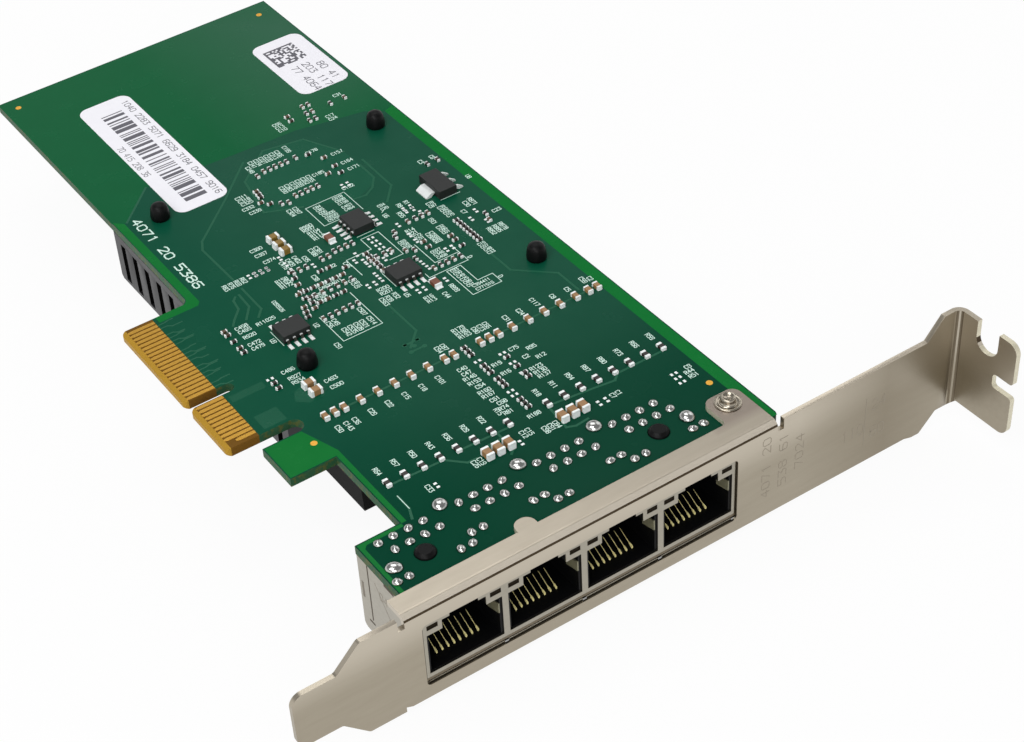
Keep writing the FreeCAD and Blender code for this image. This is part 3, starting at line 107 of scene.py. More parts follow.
def addObject(name, data):
    thing = bpy.data.objects.new(name, data)
    bpy.context.scene.collection.objects.link(thing)
    return thing


# A box-shaped zone with soft edges, as a node group.
def zoneGroup():
    group = bpy.data.node_groups.new("softZone", "ShaderNodeTree")
    for name in ("X", "Y", "Low X", "High X", "Low Y", "High Y", "Softness"):
        group.interface.new_socket(name, in_out="INPUT", socket_type="NodeSocketFloat")
    group.interface.new_socket("Inside", in_out="OUTPUT", socket_type="NodeSocketFloat")
    given = addNode(group, "NodeGroupInput").outputs
    lowX, highX, lowY, highY = (
        math2(group, "SUBTRACT", given[first], given[second])
        for first, second in (("Low X", "X"), ("X", "High X"), ("Low Y", "Y"), ("Y", "High Y")))
    widest = math2(group, "MAXIMUM", math2(group, "MAXIMUM", lowX, highX),
                   math2(group, "MAXIMUM", lowY, highY))
    inward = math2(group, "MULTIPLY", given["Softness"], -1.0)
    inside = ramp(group, widest, given["Softness"], inward, kind="LINEAR")
    addNode(group, "NodeGroupOutput", {"Inside": inside})
    return group


def zoneInside(tree, axes, box, softness=0.03):
    node = addNode(tree, "ShaderNodeGroup", node_tree=softZone)
    for name in ("X", "Y"):
        tree.links.new(axes.outputs[name], node.inputs[name])
    for name, value in zip(("Low X", "High X", "Low Y", "High Y", "Softness"), box + (softness,)):
        node.inputs[name].default_value = value * mm
    return node.outputs[0]


softZone = zoneGroup()


# A plain surface with a second tone, a little unevenness in its gloss and a fine bump; where asked, also
# painted light: a lighter top, and a soft box in another tone for painted shade on the bracket and painted
# sheen on the board.
def surface(name, colour, second, grainSize, roughness, bumpStrength, metallic=0.0, look=None):
    look = look or {}
    material, tree = newMaterial(name)
    place = addNode(tree, "ShaderNodeTexCoord").outputs["Object"]
    stretch = addNode(tree, "ShaderNodeMapping", {"Vector": place, "Scale": look.get("stretch", (1, 1, 1))})
    grain = addNode(tree, "ShaderNodeTexNoise", {
        "Vector": stretch.outputs[0], "Scale": 1 / (grainSize * mm), "Detail": 4.0,
        "Roughness": 0.6}).outputs["Fac"]
    tone = mixColours(tree, grain, linear(colour), linear(second))
    axes = addNode(tree, "ShaderNodeSeparateXYZ", {0: place})
    # painted highlight: the tone lightens towards the top
    if "topLightColour" in look:
        upper = ramp(tree, axes.outputs["Z"], look["topStart"] * mm, look["topEnd"] * mm)
        tone = mixColours(tree, upper, tone, linear(look["topLightColour"]))
    # a soft box of painted light in another tone: painted shade on the bracket, painted sheen on the board
    if "zone" in look:
        zone = zoneInside(tree, axes, look["zone"], look["zoneSoftness"])
        tone = mixColours(tree, zone, tone, linear(look["zoneColour"]))
    spread = look.get("spread", 0.06)
    gloss = ramp(tree, grain, first=roughness - spread, last=roughness + spread, kind="LINEAR")
    bump = addNode(tree, "ShaderNodeBump", {
        "Height": grain, "Strength": bumpStrength, "Distance": grainSize * mm * 0.2})
    finishMaterial(tree, addNode(tree, "ShaderNodeBsdfPrincipled", {
        "Base Color": tone, "Metallic": metallic, "Roughness": gloss,
        "Specular IOR Level": look.get("specular", 0.5), "Normal": bump.outputs[0]}))
    return material


# ---- materials ----

# colour, second colour, grain in mm, roughness, bump, and where needed metallic and the rest
looks = {
    # nickel plate on rolled steel: warm grey, brushed along the sheet, soft reflections; a painted highlight
    # lightens the plate towards its top, and painted shade darkens it towards the screw tab
    "nickelSteel": ("#a79e8d", "#9e9584", 0.9, 0.34, 0.03, 1, {
        "stretch": (1, 0.12, 1), "zone": (30, 90, 84, 95), "zoneColour": "#867c6a", "zoneSoftness": 12,
        "topLightColour": "#c0b7a7", "topStart": -7, "topEnd": 0.5}),
    # its flange, a lighter copy of the plate as painted light on its upward faces, with painted shade where
    # the ear lies on the board; a painted highlight lies on the outside of the bend
    "flangeLitSteel": ("#b5ac9d", "#aca394", 0.9, 0.34, 0.03, 1, {
        "stretch": (1, 0.12, 1), "zone": (40, 54.6, 59.8, 80), "zoneColour": "#9d9287", "zoneSoftness": 0.9}),
    "bendHighlightSteel": ("#c2b9aa", "#b8afa0", 0.9, 0.5, 0.03, 0.25),
    # stamped marks, in shallow shade
    "markedSteel": ("#8f8676", "#a1988a", 0.5, 0.4, 0.03, 1),
    # the same plate rubbed bright on the turned rivet; painted shade in the crease of the bend, the same dark
    # also serving for the shield's seams; a painted highlight on a sheared edge
    "rivetSteel": ("#b3ab9c", "#a59d8e", 0.4, 0.24, 0.03, 1),
    "creaseShadeAndSeamSteel": ("#4a3f31", "#574b3b", 0.8, 0.5, 0.03, 1),
    "shearedEdgeHighlight": ("#dcd6c0", "#c9c2aa", 0.5, 0.4, 0.05, 0.4, {"stretch": (0.3, 1, 1)}),
    # bright tin plate of the jack shield
    "shieldSteel": ("#a8a396", "#9b9588", 0.8, 0.3, 0.04, 1),
    # steel in the shade of a fold, and thin tinned spring steel inside the ports
    "shadedSteel": ("#7a6f5e", "#6c6252", 0.8, 0.35, 0.04, 1),
    "tabSteel": ("#8f8c74", "#7d7a64", 0.8, 0.4, 0.04, 0.6),
    # glass-filled plastic, fine matt grain
    "blackPlastic": ("#070708", "#0d0d0e", 0.25, 0.42, 0.15, 0, {"specular": 0.14}),
    "moduleCase": ("#0c0c0c", "#131313", 0.2, 0.65, 0.1, 0, {"specular": 0.07}),
    # moulded epoxy of the chips, a little dusty
    "mouldedEpoxy": ("#191b1b", "#222423", 0.12, 0.5, 0.2, 0, {"specular": 0.4}),
    # hard gold over copper
    "goldPlate": ("#d4a546", "#c29236", 0.6, 0.32, 0.05, 0.85),
    # selective gold on the contact wires, painted pale as a highlight where they catch the light at the mouth
    "wireGoldHighlight": ("#fff5b4", "#efe08e", 0.4, 0.35, 0.03, 0.15),
    # fresh tin solder: bright, nearly mirror-like
    "solder": ("#cfd0cd", "#a9aaa8", 0.35, 0.12, 0.35, 1, {"spread": 0.04}),
    # a lead's steep part, darkened as a painted reflection of the board it mirrors
    "leadNeckReflection": ("#5c5a52", "#4a4a44", 0.3, 0.3, 0.05, 0.8),
    # dull tin on part ends and pads, its near-white a painted highlight
    "tinnedPadsHighlight": ("#f9fdfd", "#e6ebea", 0.3, 0.3, 0.1, 0.1),
    # bright tin on formed leads, its near-white a painted highlight
    "leadTinHighlight": ("#fafdfd", "#e6eae8", 0.4, 0.25, 0.05, 0.25),
    # printed epoxy ink
    "silkscreenInk": ("#d9f3e8", "#c8e5d9", 0.25, 0.6, 0.1, 0, {"specular": 0.3}),
    # fired ceramic of the capacitors
    "tanCeramic": ("#a07a50", "#8d6a45", 0.4, 0.42, 0.1),
    "oliveCeramic": ("#8a6d2c", "#7b6128", 0.4, 0.4, 0.1),
    "paleCeramic": ("#5d4836", "#4e3c2c", 0.3, 0.45, 0.1),
    "warmCeramic": ("#7c4a35", "#6b3f2e", 0.3, 0.45, 0.1),
    "mutedCeramic": ("#44352a", "#372b21", 0.3, 0.5, 0.1),
    "resistorGlaze": ("#231d1b", "#342b27", 0.3, 0.35, 0.1),
    # coated label paper, satin
    "labelStock": ("#f3f2f7", "#ecebf2", 2, 0.5, 0.02, 0, {"specular": 0.3}),
    "labelInk": ("#55545c", "#626169", 0.3, 0.6, 0.05),
    # smoked clear plastic behind the shield's small windows
    "lightPipe": ("#20190d", "#1a140a", 0.5, 0.4, 0.05, 0, {"specular": 0.03}),
    # painted shade in the grooves between the fins, then black anodised aluminium, cut faces run along the
    # extrusion
    "finShade": ("#050505", "#080808", 0.5, 0.8, 0.05, 0, {"specular": 0.05}),
    "anodisedAluminium": ("#3b3b3d", "#343436", 0.5, 0.42, 0.08, 0.7, {"stretch": (0.2, 1, 1)}),
    "gapPad": ("#8796a6", "#7b8a9a", 0.6, 0.8, 0.2),
    "springSteel": ("#b4b4b2", "#a2a2a0", 0.3, 0.3, 0.05, 1),
    "ferrite": ("#3b3c3e", "#46474a", 0.2, 0.7, 0.3),
    # copper seen through the solder mask
    "maskedCopper": ("#125a40", "#0f543b", 0.5, 0.3, 0.03, 0, {"specular": 0.25}),
    # mask over the open copper field, with a painted sheen towards its far corner, over the inner field and
    # over bare laminate
    "fieldMask": ("#035630", "#055c35", 5, 0.26, 0.02, 0, {
        "specular": 0.08, "zone": (-100, -62, 54, 80), "zoneColour": "#33614a", "zoneSoftness": 15}),
    "innerMask": ("#074e37", "#0a543c", 5, 0.26, 0.02, 0, {"specular": 0.18}),
    "bareMask": ("#08692b", "#0c702f", 3, 0.26, 0.02, 0, {"specular": 0.07}),
    "fiducialGold": ("#f2b53c", "#e2a233", 0.3, 0.35, 0.05, 0.3),
}
materials = {name: surface(name, *look) for name, look in looks.items()}

# The board: the places are in millimetres, and the sheen and the tone change along it; the tone darkens
# towards the jack as painted shade.
boardLook = {
    "mask": "#064834", "maskSecond": "#0a4e38", "edge": "#2c5238", "edgeSecond": "#4c5730",
    "laminate": "#a8822f", "betweenContacts": "#6d4c18",
    "tongue": (-30, 13.5, -1, 5.65), "contacts": (-30, 14, 0.8, 10),
    "roughness": 0.26, "specular": 0.18, "edgeSpecular": 0.03,
    "dullStart": 5, "dullEnd": 46, "dullSpecular": 0.05, "maskShadeNearJack": "#043d2b",
    "lowStart": 14, "lowEnd": 40, "lowShare": 0.38, "clouds": (6, 5.0), "weave": (0.9, 3.0),
    "patchStart": 0.5, "patchEnd": 0.62, "spread": 0.05, "bump": 0.08, "bumpDepth": 0.05,
}


def boardMaterial(look):
    material, tree = newMaterial("solderMask")
    place = addNode(tree, "ShaderNodeTexCoord").outputs["Object"]
    axes = addNode(tree, "ShaderNodeSeparateXYZ", {0: place})
    noise, fine = (addNode(tree, "ShaderNodeTexNoise", {"Vector": place, "Scale": 1 / (size * mm),
                                                        "Detail": detail}).outputs["Fac"]
                   for size, detail in (look["clouds"], look["weave"]))
    along = ramp(tree, axes.outputs["X"], look["dullStart"] * mm, look["dullEnd"] * mm)
    tone = mixColours(tree, noise, linear(look["mask"]), linear(look["maskSecond"]))
    # painted shade: the mask darkens towards the jack
    tone = mixColours(tree, along, tone, linear(look["maskShadeNearJack"]))
    gaps = mixColours(tree, zoneInside(tree, axes, look["contacts"]), linear(look["laminate"]),
                      linear(look["betweenContacts"]))
    tongue = zoneInside(tree, axes, look["tongue"])
    tone = mixColours(tree, tongue, tone, gaps)
    normal = addNode(tree, "ShaderNodeTexCoord").outputs["Normal"]
    facing = addNode(tree, "ShaderNodeSeparateXYZ", {0: normal})
    upright = math2(tree, "LESS_THAN", math2(tree, "ABSOLUTE", facing.outputs["Z"], 0.0), 0.5)
    patches = ramp(tree, fine, look["patchStart"], look["patchEnd"], kind="LINEAR")
    edge = mixColours(tree, patches, linear(look["edge"]), linear(look["edgeSecond"]))
    sideways = math2(tree, "MULTIPLY", upright, math2(tree, "SUBTRACT", 1.0, tongue))
    tone = mixColours(tree, sideways, tone, edge)
    sheen = ramp(tree, along, first=look["specular"], last=look["dullSpecular"], kind="LINEAR")
    lower = ramp(tree, axes.outputs["Y"], look["lowStart"] * mm, look["lowEnd"] * mm, look["lowShare"])
    shine = ramp(tree, upright, first=math2(tree, "MULTIPLY", sheen, lower), last=look["edgeSpecular"],
                 kind="LINEAR")
    bump = addNode(tree, "ShaderNodeBump", {
        "Height": fine, "Strength": look["bump"], "Distance": look["bumpDepth"] * mm})
    gloss = ramp(tree, noise, first=look["roughness"] - look["spread"],
                 last=look["roughness"] + look["spread"], kind="LINEAR")
    finishMaterial(tree, addNode(tree, "ShaderNodeBsdfPrincipled", {
        "Base Color": tone, "Roughness": gloss, "Specular IOR Level": shine, "Normal": bump.outputs[0]}))
    return material


materials["solderMask"] = boardMaterial(boardLook)

portNodes = ["port_contacts_%d" % number for number in (1, 2, 3, 4)]
nodesByMaterial = {
    "solderMask": ["circuit_board"], "nickelSteel": ["mounting_bracket", "bracket_rivet"],
    "shieldSteel": ["jack_shield", "clock_crystal"], "blackPlastic": ["jack_housing", "push_pins"],
    "goldPlate": ["edge_contacts_solder_side", "edge_contacts_component_side"] + portNodes,
    "solder": ["signal_solder_joints", "shield_solder_joints", "transformer_leads"],
    "mouldedEpoxy": ["controller_chip", "memory_chips", "regulator_body"],
    "leadTinHighlight": ["memory_chip_leads", "regulator_leads"], "lightPipe": ["status_light_pipes"],
    "tanCeramic": ["line_capacitors", "bulk_capacitors", "supply_capacitors"],
    "moduleCase": ["transformer_modules"], "anodisedAluminium": ["heatsink"], "gapPad": ["thermal_pad"],
    "springSteel": ["push_pin_springs"], "resistorGlaze": ["termination_resistors"],
    "labelStock": ["product_label", "code_label"], "ferrite": ["power_inductors"],
}
for materialName, nodeNames in nodesByMaterial.items():
    for nodeName in nodeNames:
        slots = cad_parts[nodeName].data.materials
        slots.clear()
        slots.append(materials[materialName])

# The bulk capacitors beyond this line are of another ceramic.
oliveLine = -20 * mm
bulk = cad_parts["bulk_capacitors"].data
bulk.materials.append(materials["oliveCeramic"])
for polygon in bulk.polygons:
    polygon.material_index = 1 if polygon.center.x < oliveLine else 0
print("materials set:", len(materials))


# ---- mesh pieces, in millimetres on the board's own axes ----

class Piece:
    def __init__(self):
        self.points = []
        self.faces = []

    # A closed skin over rings of points, from the first ring to the last.
    def skin(self, rings):
        first = len(self.points)
        count = len(rings[0])
        last = first + count * (len(rings) - 1)
        self.points += [point for ring in rings for point in ring]
        self.faces.append([first + i for i in reversed(range(count))])
        self.faces.append([last + i for i in range(count)])
        for base in range(first, last, count):
            for i in range(count):
                j = (i + 1) % count
                self.faces.append([base + i, base + j, base + count + j, base + count + i])

    def prism(self, outline, low, high):
        self.skin([[(x, y, level) for x, y in outline] for level in (low, high)])

    def box(self, x, y, length, width, low, high, turn=0.0):
        corners = [(-length / 2, -width / 2), (length / 2, -width / 2), (length / 2, width / 2),
                   (-length / 2, width / 2)]
        c, s = math.cos(turn), math.sin(turn)
        self.prism([(x + u * c - v * s, y + u * s + v * c) for u, v in corners], low, high)

    # A flat strip along a path, each length a hair higher than the last so that none share a plane.
    def ribbon(self, path, width, low, high):
        for number, (start, end) in enumerate(zip(path, path[1:])):
            run = Vector((end[0] - start[0], end[1] - start[1]))
            along = run.normalized() * width / 2
            across = Vector((-along.y, along.x))
            a = Vector(start[:2]) - along
            b = Vector(end[:2]) + along
            lift = 0.0006 * (number % 3)
            self.prism([tuple(a - across), tuple(b - across), tuple(b + across), tuple(a + across)],
                       low, high + lift)

    def mesh(self, name):
        mesh = bpy.data.meshes.new(name)
        mesh.from_pydata([[v * mm for v in point] for point in self.points], [], self.faces)
        mesh.update()
        return mesh

    def finish(self, name, material):
        mesh = self.mesh(name)
        mesh.materials.append(materials[material])
        return ridePiece(name, mesh)


def ridePiece(name, mesh):
    piece = addObject(name, mesh)
    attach(piece, "root")
    return piece


def mergedCopy(nodeName):
    work = bmesh.new()
    work.from_mesh(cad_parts[nodeName].data)
    bmesh.ops.remove_doubles(work, verts=work.verts, dist=1e-7)
    return work


# The boxes of the separate solids in a CAD node, in millimetres.
def solidBoxes(nodeName):
    work = mergedCopy(nodeName)
    left = set(work.verts)
    boxes = []
    while left:
        island = {left.pop()}
        waiting = list(island)
        while waiting:
            found = {vert for link in waiting.pop().link_edges for vert in link.verts} & left
            left -= found
            island |= found
            waiting += found
        low = Vector([min(v.co[i] for v in island) for i in range(3)]) / mm
        high = Vector([max(v.co[i] for v in island) for i in range(3)]) / mm
        boxes.append((low, high))
    work.free()
    return sorted(boxes, key=lambda b: (round(b[0].x, 2), b[0].y))


# Copies of one small part on many places, made by Geometry Nodes and kept as a plain mesh.
def copiesGroup():
    group = bpy.data.node_groups.new("copiesOnPlaces", "GeometryNodeTree")
    for name, direction, kind in (("Geometry", "INPUT", "Geometry"), ("Part", "INPUT", "Object"),
                                  ("Material", "INPUT", "Material"), ("Geometry", "OUTPUT", "Geometry")):
        group.interface.new_socket(name, in_out=direction, socket_type="NodeSocket" + kind)
    given = addNode(group, "NodeGroupInput").outputs
    part = addNode(group, "GeometryNodeObjectInfo", {"Object": given["Part"]})
    turn = addNode(group, "GeometryNodeInputNamedAttribute", {"Name": "turn"}, data_type="FLOAT")
    size = addNode(group, "GeometryNodeInputNamedAttribute", {"Name": "size"}, data_type="FLOAT_VECTOR")
    angles = addNode(group, "ShaderNodeCombineXYZ", {"Z": turn.outputs[0]})
    copies = addNode(group, "GeometryNodeInstanceOnPoints", {
        "Points": given["Geometry"], "Instance": part.outputs["Geometry"],
        "Rotation": angles.outputs[0], "Scale": size.outputs[0]})
    real = addNode(group, "GeometryNodeRealizeInstances", {"Geometry": copies.outputs[0]})
    painted = addNode(group, "GeometryNodeSetMaterial", {
        "Geometry": real.outputs[0], "Material": given["Material"]})
    addNode(group, "NodeGroupOutput", {"Geometry": painted.outputs[0]})
    return group


copies = copiesGroup()


# Each place is x, y and z in millimetres, a turn, and a share of the part's own size on each axis.
def spread(name, part, places, material):
    host = bpy.data.meshes.new(name + "Places")
    host.from_pydata([(x * mm, y * mm, z * mm) for x, y, z, turn, size in places], [], [])
    turns = host.attributes.new("turn", "FLOAT", "POINT")
    sizes = host.attributes.new("size", "FLOAT_VECTOR", "POINT")
    for number, (x, y, z, turn, size) in enumerate(places):
        turns.data[number].value = turn
        sizes.data[number].vector = size
    holder = addObject(name + "Holder", host)
    modifier = holder.modifiers.new("copies", "NODES")
    modifier.node_group = copies
    given = {"Part": part, "Material": materials[material]}
    for item in copies.interface.items_tree:
        if item.in_out == "INPUT" and item.name in given:
            modifier[item.identifier] = given[item.name]
    bpy.context.view_layer.update()
    made = holder.evaluated_get(bpy.context.evaluated_depsgraph_get())
    mesh = bpy.data.meshes.new_from_object(made)
    mesh.name = name
    holder.modifiers.remove(modifier)
    bpy.data.objects.remove(holder)
    return ridePiece(name, mesh)


# Smooth turned parts, one on each place, that stand for a node's plainer solids.
def turnedCopies(nodeName, name, profile, sides, places, material):
    turned = Piece()
    angles = [2 * math.pi * i / sides for i in range(sides)]
    turned.skin([[(radius * math.cos(angle), radius * math.sin(angle), height) for angle in angles]
                 for radius, height in profile])
    mesh = turned.mesh(name + "Shape")
    mesh.polygons.foreach_set("use_smooth", [True] * len(mesh.polygons))
    part = addObject(name + "Shape", mesh)
    made = spread(name, part, places, material)
    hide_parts(nodeName)
    bpy.data.objects.remove(part)


def fixNormals(thing):
    work = bmesh.new()
    work.from_mesh(thing.data)
    bmesh.ops.remove_doubles(work, verts=work.verts, dist=1e-8)
    bmesh.ops.recalc_face_normals(work, faces=work.faces)
    work.to_mesh(thing.data)
    work.free()


# ---- solder joints of the jack ----

jointLook = {
    "signalProfile": [(0.78, 0), (0.76, 0.12), (0.68, 0.3), (0.53, 0.46), (0.34, 0.56), (0.2, 0.6),
                      (0.18, 0.74), (0.03, 0.78)],
    "postProfile": [(1.26, 0), (1.22, 0.2), (1.1, 0.46), (0.88, 0.7), (0.58, 0.88), (0.3, 0.94),
                    (0.05, 0.96)],
    "sides": 20, "jointSpread": 0.12, "seed": 11,
}


def solderJoints(look):
    rng = random.Random(look["seed"])
    for nodeName, profile in (("signal_solder_joints", look["signalProfile"]),
                              ("shield_solder_joints", look["postProfile"])):
        places = []
        for low, high in solidBoxes(nodeName):
            centre = (low + high) / 2
            wide = 1 + rng.uniform(-look["jointSpread"], look["jointSpread"])
            tall = 1 + rng.uniform(-look["jointSpread"], 0)
            places.append((centre.x, centre.y, solderFace, rng.uniform(0, 6.28), (wide, 2 - wide, tall)))
        turnedCopies(nodeName, nodeName + "_smooth", profile, look["sides"], places, "solder")


solderJoints(jointLook)
print("solder joints made")


# ---- softened copies of the larger shapes, for the light along their edges ----

# width of the rounding in millimetres, and its segments
softEdges = {
    "mounting_bracket": (0.1, 2), "jack_shield": (0.05, 1), "transformer_modules": (0.12, 2),
    "memory_chips": (0.05, 1), "regulator_body": (0.06, 1), "heatsink": (0.11, 1),
    "controller_chip": (0.06, 1), "line_capacitors": (0.05, 1), "bulk_capacitors": (0.08, 1),
    "supply_capacitors": (0.08, 1), "jack_housing": (0.06, 1), "circuit_board": (0.05, 1),
    "power_inductors": (0.15, 2),
}


pegLook = {"drop": 0.22, "shrink": 0.8, "rim": 0.25}
slotLook = {"relief": 0.2, "ends": 0.4}


# The locating pegs end in a low dome.
def domePegs(work, look):
    tops = [face for face in work.faces
            if face.normal.z > 0.9 and face.calc_center_median().z > solderFace * mm]
    for face in tops:
        middle = face.calc_center_median()
        inner = bmesh.ops.inset_individual(work, faces=[face], thickness=look["rim"] * mm)
        for vert in face.verts:
            vert.co.x = middle.x + (vert.co.x - middle.x) * look["shrink"]
            vert.co.y = middle.y + (vert.co.y - middle.y) * look["shrink"]
        for vert in (vert for ring in inner["faces"] for vert in ring.verts if vert not in face.verts):
            vert.co.z -= look["drop"] * mm


# The walls between the fins stand back a little, as their edges are broken.
def openSlots(work, look):
    low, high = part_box("heatsink")
    moved = set()
    for face in work.faces:
        middle = face.calc_center_median()
        if abs(face.normal.x) > 0.9 and low.x + look["ends"] * mm < middle.x < high.x - look["ends"] * mm:
            for vert in set(face.verts) - moved:
                vert.co.x -= face.normal.x * look["relief"] * mm
                moved.add(vert)


def softened(nodeName, width, segments):
    work = mergedCopy(nodeName)
    bmesh.ops.dissolve_limit(work, angle_limit=math.radians(1), verts=work.verts, edges=work.edges,
                             delimit={"MATERIAL"})
    if nodeName == "jack_housing":
        domePegs(work, pegLook)
    if nodeName == "heatsink":
        openSlots(work, slotLook)
    mesh = bpy.data.meshes.new(nodeName + "Soft")
    work.to_mesh(mesh)
    work.free()
    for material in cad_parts[nodeName].data.materials:
        mesh.materials.append(material)
    mesh.polygons.foreach_set("use_smooth", [True] * len(mesh.polygons))
    mesh.set_sharp_from_angle(angle=math.radians(32))
    holder = addObject(nodeName + "Holder", mesh)
    modifier = holder.modifiers.new("edges", "BEVEL")
    modifier.width = width * mm
    modifier.segments = segments
    modifier.limit_method = "ANGLE"
    modifier.angle_limit = math.radians(35)
    modifier.use_clamp_overlap = True
    modifier.harden_normals = True
    bpy.context.view_layer.update()
    made = bpy.data.meshes.new_from_object(holder.evaluated_get(bpy.context.evaluated_depsgraph_get()))
    made.name = nodeName + "_soft"
    bpy.data.objects.remove(holder)
    piece = ridePiece(nodeName + "_soft", made)
    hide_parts(nodeName)
    return piece


softCopies = {nodeName: softened(nodeName, *edges) for nodeName, edges in softEdges.items()}


# The grooves between the fins get a near-black painted shade.
def shadeFins(piece):
    low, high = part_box("heatsink")
    rim = 0.3 * mm
    piece.data.materials.append(materials["finShade"])
    for polygon in piece.data.polygons:
        inside = all(low[i] + rim < polygon.center[i] < high[i] - rim for i in (0, 2))
        if inside and abs(polygon.normal.x) > 0.3:
            polygon.material_index = 1


# Painted light on the bracket: the flange's upward faces in a lighter copy of the plate, a painted highlight
# on the outside of the bend, painted shade in its crease, painted highlights on sheared edges, and painted
# shade in the bend of the screw tab, where the middle facets stay lit.
def shadeFolds(piece, look):
    names = ("flangeLitSteel", "bendHighlightSteel", "creaseShadeAndSeamSteel", "shearedEdgeHighlight", "shadedSteel")
    for name in names:
        piece.data.materials.append(materials[name])
    slots = {name: number + 1 for number, name in enumerate(names)}
    for polygon in piece.data.polygons:
        normal, centre = polygon.normal, polygon.center / mm
        onFlange = solderFace < centre.z < look["flangeTop"]
        sloping = onFlange and normal.z > 0.05
        inBend = centre.y > look["bendLine"] and 0.08 < normal.x < 0.96 and normal.y < -0.2
        if onFlange and normal.z > 0.97:
            steel = "flangeLitSteel"
        elif sloping and 0.05 < normal.x <= look["creaseLow"]:
            steel = "bendHighlightSteel"
        elif sloping and look["creaseLow"] < normal.x < look["creaseHigh"]:
            steel = "creaseShadeAndSeamSteel"
        elif normal.y < -0.5 and centre.x < look["earLine"] and centre.z > solderFace:
            steel = "shearedEdgeHighlight"
        elif centre.x > look["tabLine"] and abs(normal.y) < 0.3:
            steel = "shearedEdgeHighlight"
        elif inBend and not look["litLow"] < normal.x < look["litHigh"]:
            steel = "shadedSteel"
        else:
            continue
        polygon.material_index = slots[steel]


# heights and places in millimetres, the rest shares of a normal
foldLook = {"flangeTop": 2.3, "creaseLow": 0.86, "creaseHigh": 0.995, "earLine": 54.0, "tabLine": 60.0,
            "bendLine": 98.0, "litLow": 0.6, "litHigh": 0.8}
shadeFolds(softCopies["mounting_bracket"], foldLook)
shadeFins(softCopies["heatsink"])
print("edges softened")


# ---- push pins and rivet: radius and height of each ring ----

pinLook = {"head": [(2.9, -10.63), (3.15, -10.5), (3.2, -10.3), (3.2, -9.7), (3.1, -9.5), (2.9, -9.43)],
           "barrel": [(1.5, -9.43), (1.5, 0.8), (1.66, 0.9), (1.72, 1.3), (1.62, 2.2), (1.5, 2.9),
                      (1.28, 3.35), (0.9, 3.64), (0.4, 3.76), (0.05, 3.78)],
           "sides": 32}


def pushPins(look):
    centres = [(low + high) / 2 for low, high in solidBoxes("push_pins")]
    places = [(centre.x, centre.y, 0.0, 0.0, (1, 1, 1)) for centre in centres]
    turnedCopies("push_pins", "push_pins_smooth", look["head"] + look["barrel"], look["sides"], places,
                 "blackPlastic")


pushPins(pinLook)

rivetLook = {"profile": [(2.05, -1.49), (2.3, -1.36), (2.3, -0.9), (1.2, -0.8), (1.2, 1.6), (2.0, 1.64),
                         (2.12, 1.72), (2.1, 1.84), (1.92, 1.92), (1.62, 1.86), (1.48, 1.68), (1.22, 1.68),
                         (1.2, 2.5), (1.15, 2.84), (1.0, 2.98), (0.84, 2.96), (0.74, 2.72), (0.05, 2.68)],
             "sides": 40}


def rivet(look):
    low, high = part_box("bracket_rivet")
    centre = (low + high) / 2 / mm
    turnedCopies("bracket_rivet", "bracket_rivet_turned", look["profile"], look["sides"],
                 [(centre.x, centre.y, 0.0, 0.0, (1, 1, 1))], "rivetSteel")


rivet(rivetLook)


# ---- wires and springs in the ports ----

# along, up, width and thickness of each section, from the tip backwards
wireLook = {"sections": [(0.0, -0.05, 0.16, 0.1), (-0.08, 0.0, 0.3, 0.24), (-0.55, 0.24, 0.28, 0.22),
                         (-0.9, 0.46, 0.1, 0.12), (-3.0, 1.65, 0.07, 0.08), (-3.2, 1.65, 0.06, 0.06)],
            "tipOut": 0.3}


def portWires(look):
    for node in portNodes:
        wires = Piece()
        for low, high in solidBoxes(node):
            y = (low.y + high.y) / 2
            wires.skin([[(high.x + look["tipOut"] + along, y + side * width / 2, low.z + 0.05 + up + rise)
                         for side, rise in ((-1, 0), (1, 0), (1, thick), (-1, thick))]
                        for along, up, width, thick in look["sections"]])
        piece = wires.finish(node + "_formed", "wireGoldHighlight")
        fixNormals(piece)
        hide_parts(node)


portWires(wireLook)

noseLook = {"noseDrop": 12.5, "lipHeight": 0.5, "lipDepth": 0.2, "lipEnds": 0.3, "dimpleShift": 6.6,
            "dimple": (0.5, 0.7, 0.36), "dimpleIn": 0.1, "dimpleDrop": 0.5, "wall": 5.95,
            "tabLength": 2.2, "tabHeight": 1.9, "tabSheet": 0.2, "tabSlant": 0.45, "tabDrop": 8.4}


# The rolled lip under the ports, drawn as a thin strip of painted shade, with its dimples, and a grounding
# tab at each port's far wall.
def noseDetails(look):
    low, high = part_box("jack_shield")
    low, high = low / mm, high / mm
    front, bottom = high.x, componentFace - look["noseDrop"]
    middles = [(first.y + last.y) / 2 / mm for first, last in (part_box(node) for node in portNodes)]
    lip = Piece()
    near, far, ends = front - look["lipDepth"], front + 0.01, look["lipEnds"]
    lip.prism([(near, low.y + ends), (far, low.y + ends), (far, high.y - ends), (near, high.y - ends)],
              bottom + 0.02, bottom + look["lipHeight"])
    lip.finish("nose_lip", "shadedSteel")
    dimples, tabs = Piece(), Piece()
    length, width, height = look["dimple"]
    for middle in middles:
        dimples.box(front - look["dimpleIn"], middle + look["dimpleShift"], length, width,
                    bottom - look["dimpleDrop"], bottom - look["dimpleDrop"] + height)
        x, y, z = front - look["lipDepth"], middle + look["wall"], solderFace - look["tabDrop"]
        back, slant, sheet = x - look["tabLength"], look["tabSlant"], look["tabSheet"]
        tabs.prism([(x, y), (back, y - slant), (back, y - slant - sheet), (x, y - sheet)], z,
                   z + look["tabHeight"])
    fixNormals(dimples.finish("strip_dimples", "springSteel"))
    fixNormals(tabs.finish("port_grounding_tabs", "tabSteel"))


noseDetails(noseLook)
print("ports and pins made")


# ---- small chip parts ----

def looseObject(name, piece):
    return addObject(name, piece.mesh(name))


